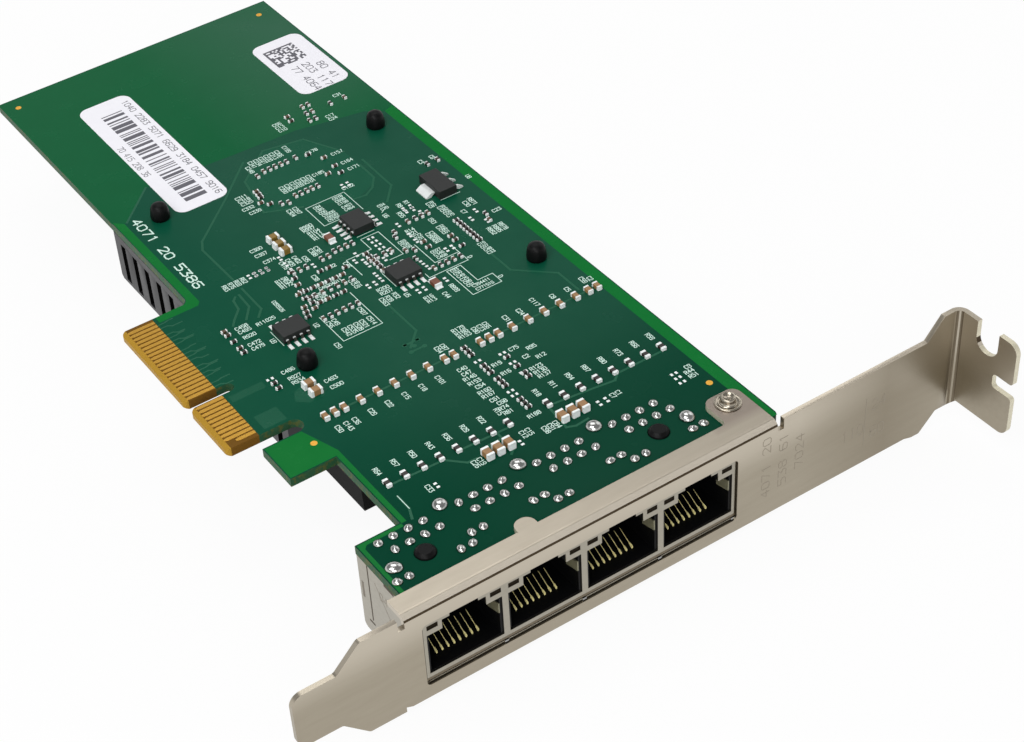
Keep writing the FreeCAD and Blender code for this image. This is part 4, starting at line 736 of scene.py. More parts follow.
# grow, which keeps the ends just outside the body, and toeHeight are in millimetres; the rest are shares
endLook = {"foot": 0.12, "grow": 0.012, "toeWidth": 0.42, "climb": 0.7, "toeHeight": 0.05}


# Two tinned ends, each with a foot of solder.
def endsPiece(length, width, height, capShare, look=endLook):
    piece = Piece()
    cap, grow, toe = length * capShare, look["grow"], width * look["toeWidth"]
    for side in (-1, 1):
        piece.box(side * (length - cap) / 2, 0, cap + grow * 2, width + grow * 2, 0, height + grow)
        inner = side * (length / 2 + grow)
        outer = side * (length / 2 + height * look["foot"])
        base = [(inner, -width / 2), (inner, width / 2), (outer, toe), (outer, -toe)]
        piece.skin([[(x, y, 0.0) for x, y in base],
                    [(x, y, height * look["climb"] if x == inner else look["toeHeight"]) for x, y in base]])
    return piece


def endCaps(nodeName, capShare):
    places = []
    for low, high in solidBoxes(nodeName):
        span = high - low
        size = (max(span.x, span.y), min(span.x, span.y), span.z)
        centre = (low + high) / 2
        face, flip = (low.z, 1) if centre.z > 0 else (high.z, -1)
        places.append((centre.x, centre.y, face, math.pi / 2 * (span.y > span.x), (1, 1, flip)))
    part = looseObject(nodeName + "EndShape", endsPiece(*size, capShare=capShare))
    fixNormals(part)
    spread(nodeName + "_ends", part, places, "tinnedPadsHighlight")
    bpy.data.objects.remove(part)


endShares = {"line_capacitors": 0.19, "bulk_capacitors": 0.2, "termination_resistors": 0.26,
             "supply_capacitors": 0.2}
for nodeName, share in endShares.items():
    endCaps(nodeName, share)

# x and y of the first; for a run its step in x, its step in y and how many; and whether turned a quarter
tinyParts = {
    "capacitors": [
        (-46.9, 47.2, 0), (-46.8, 45.3, 0, -1.15, 5, 0), (-46.2, 39.1, 0), (-37, 45.9, 0, -1.12, 5, 0),
        (-36, 39.5, 0), (-36.5, 38.3, 0), (-42.4, 36.6, 1, -0.12, 3, 1), (-39, 35.6, 1), (-37.7, 36.7, 1),
        (-46.3, 49.4, 1), (-43.7, 51.2, 1), (-40.3, 51.4, 1), (-37.9, 51.2, 1), (-39, 49.2, 1),
        (-30.4, 66.4, 0, -2.1, 2, 0), (-18.7, 37, 0, -1.3, 2, 0), (-18.5, 32.6, 0, -1.3, 3, 0),
        (-19.2, 42, 0, -1.2, 4, 0), (-18.4, 56.5, 0, -1.3, 2, 0), (-18.4, 54, 0, -1.5, 2, 0),
        (-18.9, 29.8, 1.85, -0.42, 5, 1), (-9.5, 26.8, 1.25, -0.35, 3, 1), (-13.4, 46, 0, -1.4, 4, 0),
        (-15.3, 42.2, 1.1, 0, 6, 1), (-17.3, 49.1, 1.2, -0.6, 2, 0), (-11.9, 47.9, 0.8, 1.2, 2, 0),
        (-9, 48, 0), (-12.1, 51.5, 1.7, -0.1, 2, 1), (-5, 54.2, 0, -1.3, 5, 0), (-5, 34.3, 0, -1.3, 6, 0),
        (-9, 34, 0, -1.5, 4, 1), (-11, 36.8, 0, -1.4, 7, 0), (-13, 36.2, 0, -1.4, 7, 1),
        (-11.1, 28.9, 1.4, -0.4, 3, 1), (-7, 13.4, 1.3, 0, 2, 1), (-12.1, 13.4, 1.1, 0, 2, 1),
        (-12, 64, 1.7, -0.4, 2, 0), (-16, 35.4, 0, -1.6, 2, 1), (-10.6, 56, 1.4, 0, 2, 1), (-7.2, 56, 1),
        (-60, 56.4, 0, 1.2, 2, 0), (-57.6, 55.9, 0, 1.2, 2, 0), (-55.3, 55.2, 0, 1.3, 2, 0),
        (-59, 52.6, 1.6, -0.1, 2, 1), (-57.7, 61, 0), (-57.8, 64.1, 0), (-14.4, 37.6, 1),
    ],
    "resistors": [
        (-13.6, 59.1, 0.98, 0, 8, 1), (-9, 13.4, 1), (3.8, 13.5, 1.4, 0, 2, 1), (20.3, 41.4, 1.05, 0, 3, 1),
        (24.2, 41.4, 1.05, 0, 3, 1), (30.3, 41.4, 1.05, 0, 3, 1), (15, 41.4, 1.05, 0, 3, 1), (20.9, 45.5, 1),
        (23.6, 45.5, 1), (25.6, 45.5, 1.05, 0, 2, 1),
    ],
    "barePads": [
        (-34.4, 50.5, 0, -1.1, 2, 0), (-21.9, 55.4, 0, -1.4, 2, 0), (-10.4, 63.2, 0), (-14, 63.3, 0),
        (-12.5, 61.4, 0), (-9.7, 40.6, 1.7, 0, 2, 0), (-7.8, 39.3, 0, -1.3, 2, 0), (-1.4, 48.9, 0),
        (-1.6, 44.9, 0, -1.2, 2, 0), (19.6, 45.5, 2.8, 0, 3, 1), (18.8, 41.4, 1), (27.7, 41.4, 1.1, 0, 2, 1),
        (40.8, 63.2, 1.2, -0.1, 2, 1), (38.2, 51.7, 0, -1.35, 2, 0), (38.2, 36, 0, -15, 2, 0),
        (39.7, 63.3, 1), (2.4, 13.5, 1), (-18.6, 45.2, 1.15, 0, 6, 1), (-18.2, 33.8, 0),
        (-8, 54.6, 0, -1.2, 2, 0), (-22.2, 27.2, 0, -1.2, 3, 0), (-23.4, 30.3, 2, 0, 3, 0), (-14.8, 39.8, 0),
        (-14, 41, 1.4, 0, 2, 0), (-12.3, 42.6, 0, 1.4, 2, 0), (-16.3, 40.9, 0), (-21.3, 53.9, 0),
        (-21.1, 55.2, 0), (-19.4, 55.8, 0), (-18.8, 50.8, 0), (-15.2, 50.8, 0), (-13.2, 50.8, 0),
        (-22.3, 23.8, 0, 1.15, 4, 0), (-5.9, 48.4, 0), (-7.6, 48.3, 0),
    ],
}
tinyLook = {"length": 1.0, "width": 0.52, "height": 0.42, "capShare": 0.16, "coreShare": 0.96,
            "padPlace": 0.42, "padShare": 0.4, "padHeight": 0.06, "jitter": 0.03, "seed": 5,
            "cores": {"capacitors": ("mutedCeramic", "resistorGlaze", "paleCeramic"),
                      "resistors": ("resistorGlaze",)}}


def tinyPlaces(runs, rng, jitter):
    places = []
    for x, y, *run, upright in runs:
        stepX, stepY, count = run or (0, 0, 1)
        for i in range(count):
            places.append((x + i * stepX + rng.uniform(-jitter, jitter),
                           y + i * stepY + rng.uniform(-jitter, jitter),
                           solderFace, math.pi / 2 * upright, (1, 1, 1)))
    return places


def tinyChipParts(look):
    rng = random.Random(look["seed"])
    length, width, height = look["length"], look["width"], look["height"]
    ends = looseObject("tinyEndShape", endsPiece(length, width, height, look["capShare"]))
    fixNormals(ends)
    core, pads = Piece(), Piece()
    core.box(0, 0, length * look["coreShare"], width, 0, height)
    for side in (-1, 1):
        pads.box(side * length * look["padPlace"], 0, length * look["padShare"], width, 0, look["padHeight"])
    coreShape, padShape = looseObject("tinyCoreShape", core), looseObject("barePadShape", pads)
    for kind, cores in look["cores"].items():
        places = tinyPlaces(tinyParts[kind], rng, look["jitter"])
        for number, material in enumerate(cores):
            spread("tiny_%s_%d" % (kind, number + 1), coreShape, places[number::len(cores)], material)
        spread("tiny_" + kind + "_ends", ends, places, "tinnedPadsHighlight")
    spread("bare_pads", padShape, tinyPlaces(tinyParts["barePads"], rng, 0.0), "tinnedPadsHighlight")
    for shape in (ends, coreShape, padShape):
        bpy.data.objects.remove(shape)


# Two larger capacitors by the memory chips: x, y and their size; a foot's length, height and place
largeLook = {"places": [(-22.7, 39.6), (-1.4, 46.9)], "size": (2.0, 1.25, 0.7), "capShare": 0.24,
             "capDepth": 0.15, "grow": (0.03, 0.015), "foot": (0.5, 0.08, 0.2)}


def largeParts(look):
    length, width, height = look["size"]
    share, (wider, higher), (foot, footHeight, footPlace) = look["capShare"], look["grow"], look["foot"]
    core, ends = Piece(), Piece()
    for x, y in look["places"]:
        core.box(x, y, length * (1 - share), width, solderFace, solderFace + height)
        for side in (-1, 1):
            ends.box(x + side * length * (1 - share / 2) / 2, y, length * look["capDepth"], width + wider,
                     solderFace, solderFace + height + higher)
            ends.box(x + side * (length / 2 + footPlace), y, foot, width, solderFace, solderFace + footHeight)
    fixNormals(core.finish("decoupling_capacitors", "warmCeramic"))
    fixNormals(ends.finish("decoupling_capacitors_ends", "tinnedPadsHighlight"))


largeParts(largeLook)
tinyChipParts(tinyLook)

# the profiles are distance from the body and height
landLook = {"width": 0.62, "reach": 1.75, "inset": 0.4, "rise": 0.05, "lead": 0.42,
            "shoulder": [(-0.05, 0.62), (0.3, 0.62), (0.3, 0.84), (-0.05, 0.84)],
            "neck": [(0.26, 0.64), (0.5, 0.08), (0.7, 0.08), (0.46, 0.83), (0.3, 0.83)],
            "foot": [(0.55, 0.06), (1.05, 0.06), (1.05, 0.26), (0.62, 0.26)]}


# Lands of solder under the leads of the memory chips, and the leads: painted highlights on the lands,
# shoulders and feet, and a painted reflection of the board on the necks.
def chipLands(look):
    lands, bright, neck = Piece(), Piece(), Piece()
    bodies = solidBoxes("memory_chips")
    for low, high in solidBoxes("memory_chip_leads"):
        centre = (low + high) / 2
        body = min(bodies, key=lambda b: ((b[0] + b[1]) / 2 - centre).length)
        axis = 0 if high.x - low.x > high.y - low.y else 1
        side = 1 if centre[axis] > (body[0] + body[1])[axis] / 2 else -1
        edge = body[1 if side > 0 else 0][axis]
        middle = edge + side * (look["reach"] + look["inset"]) / 2
        place, size = (middle, centre[1 - axis]), (look["reach"] - look["inset"], look["width"])
        if axis:
            place, size = place[::-1], size[::-1]
        lands.box(*place, *size, solderFace, solderFace + look["rise"])
        for piece, profile in ((bright, look["shoulder"]), (neck, look["neck"]), (bright, look["foot"])):
            rings = [[(edge + side * reach, centre[1 - axis] + across, solderFace + level)
                      for reach, level in profile] for across in (-look["lead"] / 2, look["lead"] / 2)]
            piece.skin([[(y, x, z) for x, y, z in ring] for ring in rings] if axis else rings)
    lands.finish("chip_lands", "leadTinHighlight")
    for piece, name, material in ((bright, "memory_chip_lead_ends", "leadTinHighlight"),
                                  (neck, "memory_chip_lead_necks", "leadNeckReflection")):
        made = piece.finish(name, material)
        fixNormals(made)
        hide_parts("memory_chip_leads")


chipLands(landLook)
print("chip parts made")


# ---- silkscreen ----

# strokes of each letter, on a grid 4 wide and 6 high
glyphs = {
    "0": [[(0, 1), (0, 5), (1, 6), (3, 6), (4, 5), (4, 1), (3, 0), (1, 0), (0, 1)]],
    "1": [[(1, 5), (2, 6), (2, 0)]],
    "2": [[(0, 5), (1, 6), (3, 6), (4, 5), (4, 4), (0, 0), (4, 0)]],
    "3": [[(0, 6), (4, 6), (2, 3.6), (4, 2.4), (4, 1), (3, 0), (0, 0)]],
    "4": [[(3, 0), (3, 6), (0, 2), (4, 2)]],
    "5": [[(4, 6), (0, 6), (0, 3.5), (3, 3.5), (4, 2.5), (4, 1), (3, 0), (0, 0)]],
    "6": [[(4, 6), (1, 6), (0, 5), (0, 1), (1, 0), (3, 0), (4, 1), (4, 2.5), (3, 3.4), (0, 3.4)]],
    "7": [[(0, 6), (4, 6), (1.5, 0)]],
    "8": [[(1, 3.2), (0, 4.2), (0, 5), (1, 6), (3, 6), (4, 5), (4, 4.2), (3, 3.2), (1, 3.2), (0, 2.2),
           (0, 1), (1, 0), (3, 0), (4, 1), (4, 2.2), (3, 3.2)]],
    "9": [[(0, 0), (3, 0), (4, 1), (4, 5), (3, 6), (1, 6), (0, 5), (0, 3.6), (1, 2.8), (4, 2.8)]],
    "C": [[(4, 5), (3, 6), (1, 6), (0, 5), (0, 1), (1, 0), (3, 0), (4, 1)]],
    "R": [[(0, 0), (0, 6), (3, 6), (4, 5), (4, 4), (3, 3), (0, 3)], [(2, 3), (4, 0)]],
    "U": [[(0, 6), (0, 1), (1, 0), (3, 0), (4, 1), (4, 6)]],
    "D": [[(0, 0), (0, 6), (2.5, 6), (4, 4.5), (4, 1.5), (2.5, 0), (0, 0)]],
}
inkLook = {"low": solderFace, "high": solderFace + 0.015, "stroke": 0.12, "height": 0.76, "advance": 0.58,
           "edgeNumber": ("4071 20 5386", -36.9, 16.0, 0.0, 1.55, 0.26), "edgeAdvance": 0.98,
           "blockHeight": 0.84, "blockStroke": 0.9, "letterShare": 0.72, "letterStart": 0.14, "seed": 3}


def writeText(piece, text, x, y, turn, height, stroke, low, high, advance=None):
    advance = (advance or inkLook["advance"]) * height / inkLook["height"]
    scale = height / 6
    wide = advance * inkLook["letterShare"] / 4
    start = -advance * len(text) / 2 + advance * inkLook["letterStart"]
    c, s = math.cos(turn), math.sin(turn)
    for number, letter in enumerate(text):
        for path in glyphs.get(letter, []):
            placed = [(start + number * advance + u * wide, (v - 3) * scale) for u, v in path]
            piece.ribbon([(x + a * c - b * s, y + a * s + b * c) for a, b in placed], stroke, low, high)


# as for the tiny parts, with the number of digits before the turn
designators = {
    "C": [
        (12.3, 56.8, 3, 0), (12.9, 53.6, 0, -2.7, 2, 2, 0), (12.9, 59.9, 0, 2.9, 2, 1, 0), (12.9, 67.3, 1, 0),
        (12.5, 66.2, 2, 0), (12.3, 47.5, 0, -1.05, 3, 2, 0), (12.7, 39.2, 0, -1.05, 2, 2, 0),
        (18.9, 34.4, 3, 0), (18.7, 31.3, 0, -3.06, 4, 2, 0), (18.9, 19.1, 2, 0), (19.2, 17.6, 3, 0),
        (18.9, 16.1, 2, 0), (-43.8, 53.9, 3, 1), (-40.4, 53.9, 2.3, 0, 2, 3, 1), (-47, 50.6, 3, 1),
        (-40.4, 48, 3, 1), (-33.7, 50, 3, 1), (-50.4, 47.4, 3, 0), (-50.1, 45.6, 0, -1.08, 6, 3, 0),
        (-49, 39.1, 3, 0), (-40, 46.1, 0, -1.08, 6, 3, 0), (-33.3, 39.5, 0, -1.15, 2, 3, 0),
        (-42.8, 33.8, 1.05, 0, 3, 3, 1), (-39.2, 33.2, 1.6, 0.5, 2, 3, 1), (-31.9, 66.2, 0, -2.35, 2, 1, 0),
        (-28.1, 28.4, 1.7, 0, 2, 3, 1), (-24.1, 28.7, 3, 1), (-21.4, 36.6, 0, -1.05, 2, 3, 0),
        (-20.6, 33.7, 2, 0), (-21.4, 32.4, 0, -1.25, 3, 3, 0), (-12, 66.2, 2, 1), (-16.6, 63.2, 2, 0),
        (-15, 61.6, 1, 0), (2, 46.8, 2, 0), (2.1, 26.2, 2, 0), (-11.7, 16.3, 1.1, 0, 2, 3, 1),
        (-6.9, 16, 1.2, 0, 2, 3, 1), (2.3, 16.8, 3, 1), (8.2, 21.1, 1.8, 0, 2, 3, 1),
        (-3, 33.8, 2.9, 0, 2, 3, 0), (-0.1, 32.4, 0, -1.1, 4, 3, 0), (-3.3, 29, 0, -1.1, 2, 2, 0),
        (-2.8, 37.9, 3, 0), (38, 54.1, 0, -1.05, 2, 1, 0), (38.1, 42.6, 0, -1, 3, 2, 0),
        (36.9, 38.4, 0, -1.05, 2, 2, 0), (37.9, 29.1, 0, -1.05, 2, 2, 0), (38.1, 19.8, 2, 0),
        (18.8, 38.5, 1.25, 0, 2, 2, 1), (23.8, 38.5, 3.9, 0, 2, 2, 1), (28.9, 39, 2, 1), (19.6, 47.6, 2, 1),
        (22.4, 48, 1, 1), (39.6, 66, 1, 1), (-58.3, 50, 1.1, 0, 3, 2, 1), (-54.6, 59, 1.1, 0, 2, 2, 1),
        (-59.6, 63.6, 2, 1), (-15.2, 32.3, 2, 0), (-14.9, 38.3, 2, 0), (-16.2, 36, 2, 1),
    ],
    "R": [
        (30.4, 65.9, 0, -3.08, 8, 2, 0), (30.4, 37.3, 0, -3.1, 8, 2, 0), (-16.6, 64.4, 3, 0),
        (-7.6, 64.5, 0, -1.15, 3, 3, 0), (1.2, 48.8, 3, 0), (0.6, 44.2, 1, 0, 2, 2, 1), (-9, 16.3, 3, 1),
        (4.2, 16.9, 1.2, 0, 2, 3, 1), (-23.4, 55.4, 0, -1.4, 2, 1, 0), (-21, 52.8, 2, 0),
        (-22.1, 22.6, 0, -1.13, 4, 2, 0), (-28.3, 38.3, 0.9, 0, 2, 3, 1), (-26.3, 38.6, 0.95, 0, 3, 3, 1),
        (-10.6, 20.2, 5, 1), (-3, 40.3, 0, -1.3, 2, 2, 0), (21.2, 38.3, 1.3, 0, 2, 3, 1),
        (25.2, 38.3, 1.1, 0, 2, 3, 1), (30.1, 38.5, 1.2, 0, 2, 2, 1), (34.2, 41.2, 3, 1),
        (21, 50, 2.6, 0, 2, 2, 1), (21.1, 43.4, 2.5, 0, 2, 2, 1), (25.4, 47.8, 1.1, 0, 3, 3, 1),
        (40.6, 65.5, 1.1, 0, 2, 2, 1), (-18.2, 27.6, 0.9, 0, 3, 3, 1), (10.3, 43.4, 1, 0, 3, 3, 1),
        (-5.9, 39.6, 1.1, 0, 2, 3, 1), (-16.4, 51.6, 1, 0, 2, 2, 1),
    ],
    "U": [
        (-23, 67.9, 1, 0), (-2, 41.8, 1, 0), (-4.5, 26.1, 1, 0), (-5.4, 18.6, 1, 0), (-22.4, 50.6, 1, 0),
    ],
    "D": [
        (3.4, 56.4, 0, 0), (-4, 55.4, 0, 0),
    ],
}
# Close-set blocks of designators: centre x and y, columns or rows, pitch, digits, turned a quarter
textBlocks = [
    (-17.1, 59.3, 4, 0.95, 2, 1), (-4.4, 58.9, 4, 0.95, 2, 1), (-20.2, 58.4, 2, 0.95, 2, 1),
    (-16.2, 56, 2, 0.9, 1, 1), (-13.1, 56.1, 3, 0.9, 2, 1), (-12.2, 53.7, 2, 0.8, 6, 0),
    (-13.9, 51.8, 2, 0.9, 2, 1), (-8, 51.9, 3, 0.95, 3, 1), (-13.6, 48.8, 3, 0.9, 2, 1),
    (-1.7, 51.4, 3, 0.95, 2, 1), (1.2, 51.4, 3, 0.95, 2, 1), (3.3, 53, 2, 1.1, 6, 1),
    (-9.9, 36.8, 3, 0.95, 2, 1), (-12.7, 33.4, 2, 1, 8, 1), (-10.2, 30.6, 3, 0.95, 3, 1),
    (-12.6, 23.7, 1, 1, 6, 0), (-31.2, 46.9, 3, 0.95, 3, 1), (-28.6, 46.9, 2, 0.95, 3, 1),
    (-31, 42.7, 3, 0.95, 2, 1), (-28.2, 43.3, 3, 0.95, 4, 1), (-24.9, 51.6, 2, 1.1, 2, 1),
]
# Lines around groups of parts
outlines = [
    [(-32.8, 48.6), (-26.5, 48.6)], [(-32.8, 48.6), (-32.8, 40.9), (-26.5, 40.9), (-26.5, 44.2)],
    [(-19.4, 43.7), (-19.4, 47.2), (-11.6, 47.2), (-11.6, 44.6)],
    [(-19.4, 43.7), (-16, 43.7), (-16, 38.8), (-11, 38.8)],
    [(-8.3, 54.7), (-3.5, 54.7), (-3.5, 47.1), (-4.8, 47.1)], [(-12.5, 50), (-6.3, 50), (-6.3, 54.7)],
    [(-3.1, 52.9), (-3.1, 50.2), (4.6, 50.2), (4.6, 55.8), (1.9, 55.8), (1.9, 52.9), (-3.1, 52.9)],
    [(-8.3, 34.8), (1.6, 34.8), (1.6, 27.5), (-5.9, 27.5)], [(-9.3, 41.6), (-5, 41.6)],
    [(-7.6, 19.4), (-3.4, 19.4)], [(-20.3, 46.9), (-20.3, 43.6)], [(-20.2, 64.2), (-20.2, 60.4)],
    [(-24.5, 52), (-23.6, 50.6)], [(36.6, 15.2), (39.8, 15.2)],
]


def silkscreen(look):
    rng = random.Random(look["seed"])
    ink = Piece()
    low, high, tall, stroke = look["low"], look["high"], look["height"], look["stroke"]
    serial = 10
    for letter, runs in designators.items():
        for x, y, *run, digits, upright in runs:
            stepX, stepY, count = run or (0, 0, 1)
            for i in range(count):
                serial += 7
                number = str(serial % 10 ** digits).zfill(digits) if digits else ""
                if number.startswith("0"):
                    number = "1" + number[1:]
                writeText(ink, letter + number, x + i * stepX, y + i * stepY, math.pi / 2 * upright, tall,
                          stroke, low, high)
    for x, y, count, pitch, digits, upright in textBlocks:
        for i in range(count):
            shift = (i - (count - 1) / 2) * pitch
            text = "C" + "".join(rng.choice("0123456789") for _ in range(digits))
            writeText(ink, text, x + shift * upright, y + shift * (1 - upright), math.pi / 2 * upright,
                      tall * look["blockHeight"], stroke * look["blockStroke"], low, high)
    for path in outlines:
        ink.ribbon(path, stroke, low, high)
    writeText(ink, *look["edgeNumber"], low, high, advance=look["edgeAdvance"])
    ink.finish("silkscreen", "silkscreenInk")


silkscreen(inkLook)

# Fields of the mask that differ from the rest: outline of each, x and y
maskFields = {
    "fieldMask": [
        [(-97.4, 12.35), (-50.2, 12.35), (-48.9, 14.4), (-56.1, 22), (-55, 38.6), (-54.5, 51.8),
         (-53.4, 56.5), (-51.8, 64.5), (-49.2, 67.6), (-49.2, 69.6), (-97.4, 69.6)],
    ],
    "innerMask": [
        [(-46.4, 36.6), (-36.4, 34.7), (-33.6, 40.8), (-29.6, 49.3), (-31.9, 54.3), (-34.1, 55.3),
         (-43.3, 55), (-51.2, 51.3), (-52.7, 43.8)],
        [(6.7, 16.9), (7.4, 14.9), (9.4, 14), (10.9, 15.6), (11, 18.1), (9.2, 19.8), (7.3, 19)],
        [(2, 6.2), (3.6, 6.2), (3.6, 12.2), (2, 12.2)],
        [(8.5, 7), (12, 7), (12, 11), (8.5, 11)],
    ],
    "bareMask": [
        [(-50.4, 12.6), (-24.1, 12.6), (-23.3, 12.4), (-22.7, 11.8), (-22.6, 6.3), (-21, 6.3), (-21, 13.4),
         (-21.8, 14.1), (-48.9, 14.1)],
        [(-49.4, 67.5), (56.2, 67.5), (56.2, 69.6), (-50.2, 69.6)],
        [(15.85, 4.7), (23.75, 4.7), (23.75, 12.65), (41.7, 12.65), (41.7, 13.5), (22.8, 13.5),
         (15.85, 11.2)],
        [(41.7, 5.03), (56.2, 5.03), (56.2, 5.7), (43, 5.7), (42.4, 6.3), (42.4, 12.6), (41.7, 12.6)],
    ],
}
# Copper under the mask: runs of track, x and y of each corner
tracks = [
    [(-2.5, 58.6), (3, 58.6), (8.5, 64.2), (14, 64.2)], [(-2, 38), (6.5, 38), (9.5, 35)],
    [(-39, 56.3), (-29.3, 56.1), (-25.7, 53)],
    [(-38, 55.1), (-33.2, 55), (-30.8, 53.2), (-29.6, 51.2), (-29.9, 49)],
    [(-51.8, 39.3), (-43.8, 31.1), (-35.9, 22.3), (-33.7, 21.2), (-23.4, 21.3)], [(-56.1, 22), (-48.9, 14.6)],
    [(-46.4, 36.6), (-36.4, 34.7), (-33.6, 40.8)], [(-46.4, 36.6), (-52.7, 43.8), (-51.2, 51.3), (-43.3, 55)],
    [(34.3, 65.7), (34.3, 56.7), (35.4, 55.4), (34.8, 51.3), (34, 44.8)], [(33.7, 43.9), (37.2, 43.6)],
    [(34.3, 37.1), (34, 28.2)], [(34.3, 34.4), (36.7, 34.3)],
    [(34, 16.2), (34.3, 24.8), (36.9, 27.3), (37, 29)],
    [(37.2, 30.8), (35.7, 32), (35.6, 35.1), (37.6, 35.5), (39.3, 33.5)],
    [(37.2, 43.6), (39.5, 43.3), (40.1, 44.7), (39.9, 47)], [(15.2, 16), (15.2, 37.5)],
    [(15.2, 45), (15.2, 66.5)], [(36.7, 15.2), (39.8, 15.2), (41.8, 14.4)],
    [(-20.4, 21.3), (-13.8, 21.2), (-12.2, 19.8)], [(-19.2, 20.1), (-15.5, 19.9), (-12.9, 17.9)],
    [(-19.1, 19.3), (-18.4, 18.6), (-16, 18.2), (-14, 16.3), (-12.8, 15.4)], [(8.5, 37), (8.5, 34.5)],
    [(10.5, 37), (10.5, 34.5)],
]
printLook = {
    "inner": 0.005, "field": 0.003, "track": 0.4, "trackRise": 0.008,
    "fanStart": -20.5, "fanPitch": 1.0, "fanCount": 20, "fan": 0.26, "fanLevels": (5.8, 6.9, 7.6, 8.4),
    "fanBends": (-0.2, 0.5), "fanStagger": 0.3,
    "via": 0.42, "vias": [(8.5, 34.5), (8.5, 37), (10.5, 34.5), (10.5, 37), (9.5, 35.7)],
    "fiducial": 0.55, "fiducials": [(19.31, 11.36), (44.56, 66.23), (-94.34, 15.06), (-93.57, 66.47)],
}


def roundPatch(piece, x, y, radius, low, high, sides=20):
    angles = [2 * math.pi * i / sides for i in range(sides)]
    piece.prism([(x + radius * math.cos(angle), y + radius * math.sin(angle)) for angle in angles], low, high)


def maskPrint(look):
    for material, fields in maskFields.items():
        piece = Piece()
        rise = look["field"] if material == "fieldMask" else look["inner"]
        for outline in fields:
            piece.prism(outline, solderFace, solderFace + rise)
        piece.finish(material + "_fields", material)
    copper, gold = Piece(), Piece()
    top = solderFace + look["trackRise"]
    for number, path in enumerate(tracks):
        copper.ribbon(path, look["track"], solderFace, top + 0.002 * (number % 4))
    # short tracks that fan out from the edge contacts, one in five left out
    start, knee, bent, end = look["fanLevels"]
    for i in range(look["fanCount"]):
        x = look["fanStart"] + i * look["fanPitch"]
        if i % 5 != 2:
            shifted = x + look["fanBends"][i % 2]
            copper.ribbon([(x, start), (x, knee), (shifted, bent),
                           (shifted, end + (i * 7 % 4) * look["fanStagger"])], look["fan"], solderFace, top)
    for x, y in look["vias"]:
        roundPatch(copper, x, y, look["via"], solderFace, top + 0.002)
    copper.finish("copper_tracks", "maskedCopper")
    for x, y in look["fiducials"]:
        roundPatch(gold, x, y, look["fiducial"], solderFace, solderFace + 0.02)
    gold.finish("fiducials", "fiducialGold")


maskPrint(printLook)
print("board print made")


# ---- print on the labels ----

# Bars and lines of figures: text, place from the label's middle or corner, height and stroke, and advance.
labelLook = {
    "seed": 21, "lift": 0.012, "ends": (4.6, 3.4), "barHeight": 4.2, "barDrop": 0.2,
    "bars": (0.25, 0.25, 0.5, 0.8, 1.1), "gaps": (0.3, 0.5, 0.8),
    "upperLine": ("1040 2283 5071 6629 3184 0457 9016", 0.4, 1.5, 1.15, 0.14, 0.72),
    "lowerLine": ("70 415 208 36", 0.8, 1.15, 1.15, 0.12, None),
    "cells": 15, "cell": 0.42, "cellFill": 0.98, "cellShare": 0.52, "cellPlace": (3.0, 1.6),
    "codeLines": ("80 41", "203 117", "77 4064"), "codePlace": (4.9, 2.2, 2.35),
    "codeText": (1.35, 0.16, 0.78),
}


def labelPrint(look):
    ink = Piece()
    rng = random.Random(look["seed"])
    low, high = (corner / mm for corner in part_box("product_label"))
    middle, top = (low + high) / 2, high.z + look["lift"]
    x = low.x + look["ends"][0]
    while x < high.x - look["ends"][1]:
        bar = rng.choice(look["bars"])
        ink.box(x + bar / 2, middle.y - look["barDrop"], bar, look["barHeight"], high.z, top)
        x += bar + rng.choice(look["gaps"])
    text, shift, rise, height, stroke, advance = look["upperLine"]
    writeText(ink, text, middle.x + shift, high.y - rise, 0.0, height, stroke, high.z, top, advance)
    text, shift, rise, height, stroke, advance = look["lowerLine"]
    writeText(ink, text, middle.x + shift, low.y + rise, 0.0, height, stroke, high.z, top, advance)
    low, high = (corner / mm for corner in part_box("code_label"))
    top = high.z + look["lift"]
    cell, (left, bottom) = look["cell"], look["cellPlace"]
    for row in range(look["cells"]):
        for column in range(look["cells"]):
            if rng.random() < look["cellShare"] or row == 0 or column == 0:
                ink.box(low.x + left + column * cell, low.y + bottom + row * cell, cell * look["cellFill"],
                        cell * look["cellFill"], high.z, top)
    right, down, step = look["codePlace"]
    height, stroke, advance = look["codeText"]
    for i, text in enumerate(look["codeLines"]):
        writeText(ink, text, high.x - right, high.y - down - i * step, 0.0, height, stroke, high.z, top,
                  advance)
    ink.finish("label_print", "labelInk")


labelPrint(labelLook)
print("labels printed")


# ---- seams of the shield's side, and generic figures stamped on the bracket and marked on the shield ----

# seams: x, length, and lowest and highest z; figures: text, the two coordinates on the face, turn and height
markLook = {
    "seams": [(44.4, 0.26, -12.2, -0.9), (44.1, 1.5, -13, -12.7), (50.2, 2.6, -1.3, -0.82)],
    "slot": (42.5, 0.5, -8.7, -5.6), "thickness": 0.03, "depth": 0.012, "plateFace": 58.33,
    "shieldFigures": [("04", 48.3, -4.6, 0, 1.5), ("27", 50.4, -8.4, 0, 1.5)], "shieldStroke": 0.16,
    "shieldLine": [(46.2, -3), (51.4, -9.9)], "shieldLineStroke": 0.12,
    "plateColumns": [("4071 20", 66, -6.6, math.pi / 2, 1.5), ("538 61", 69.2, -6.6, math.pi / 2, 1.5),
                     ("7024", 72.4, -6.6, math.pi / 2, 1.5)], "columnAdvance": 0.9,
    "plateFigures": [("110", 83, -9, 0, 2), ("24", 88, -5.2, 0, 2), ("60", 88, -10.8, 0, 2)],
    "plateLine": [(85.4, -12.6), (85.4, -3.4)], "plateStroke": 0.13,
}


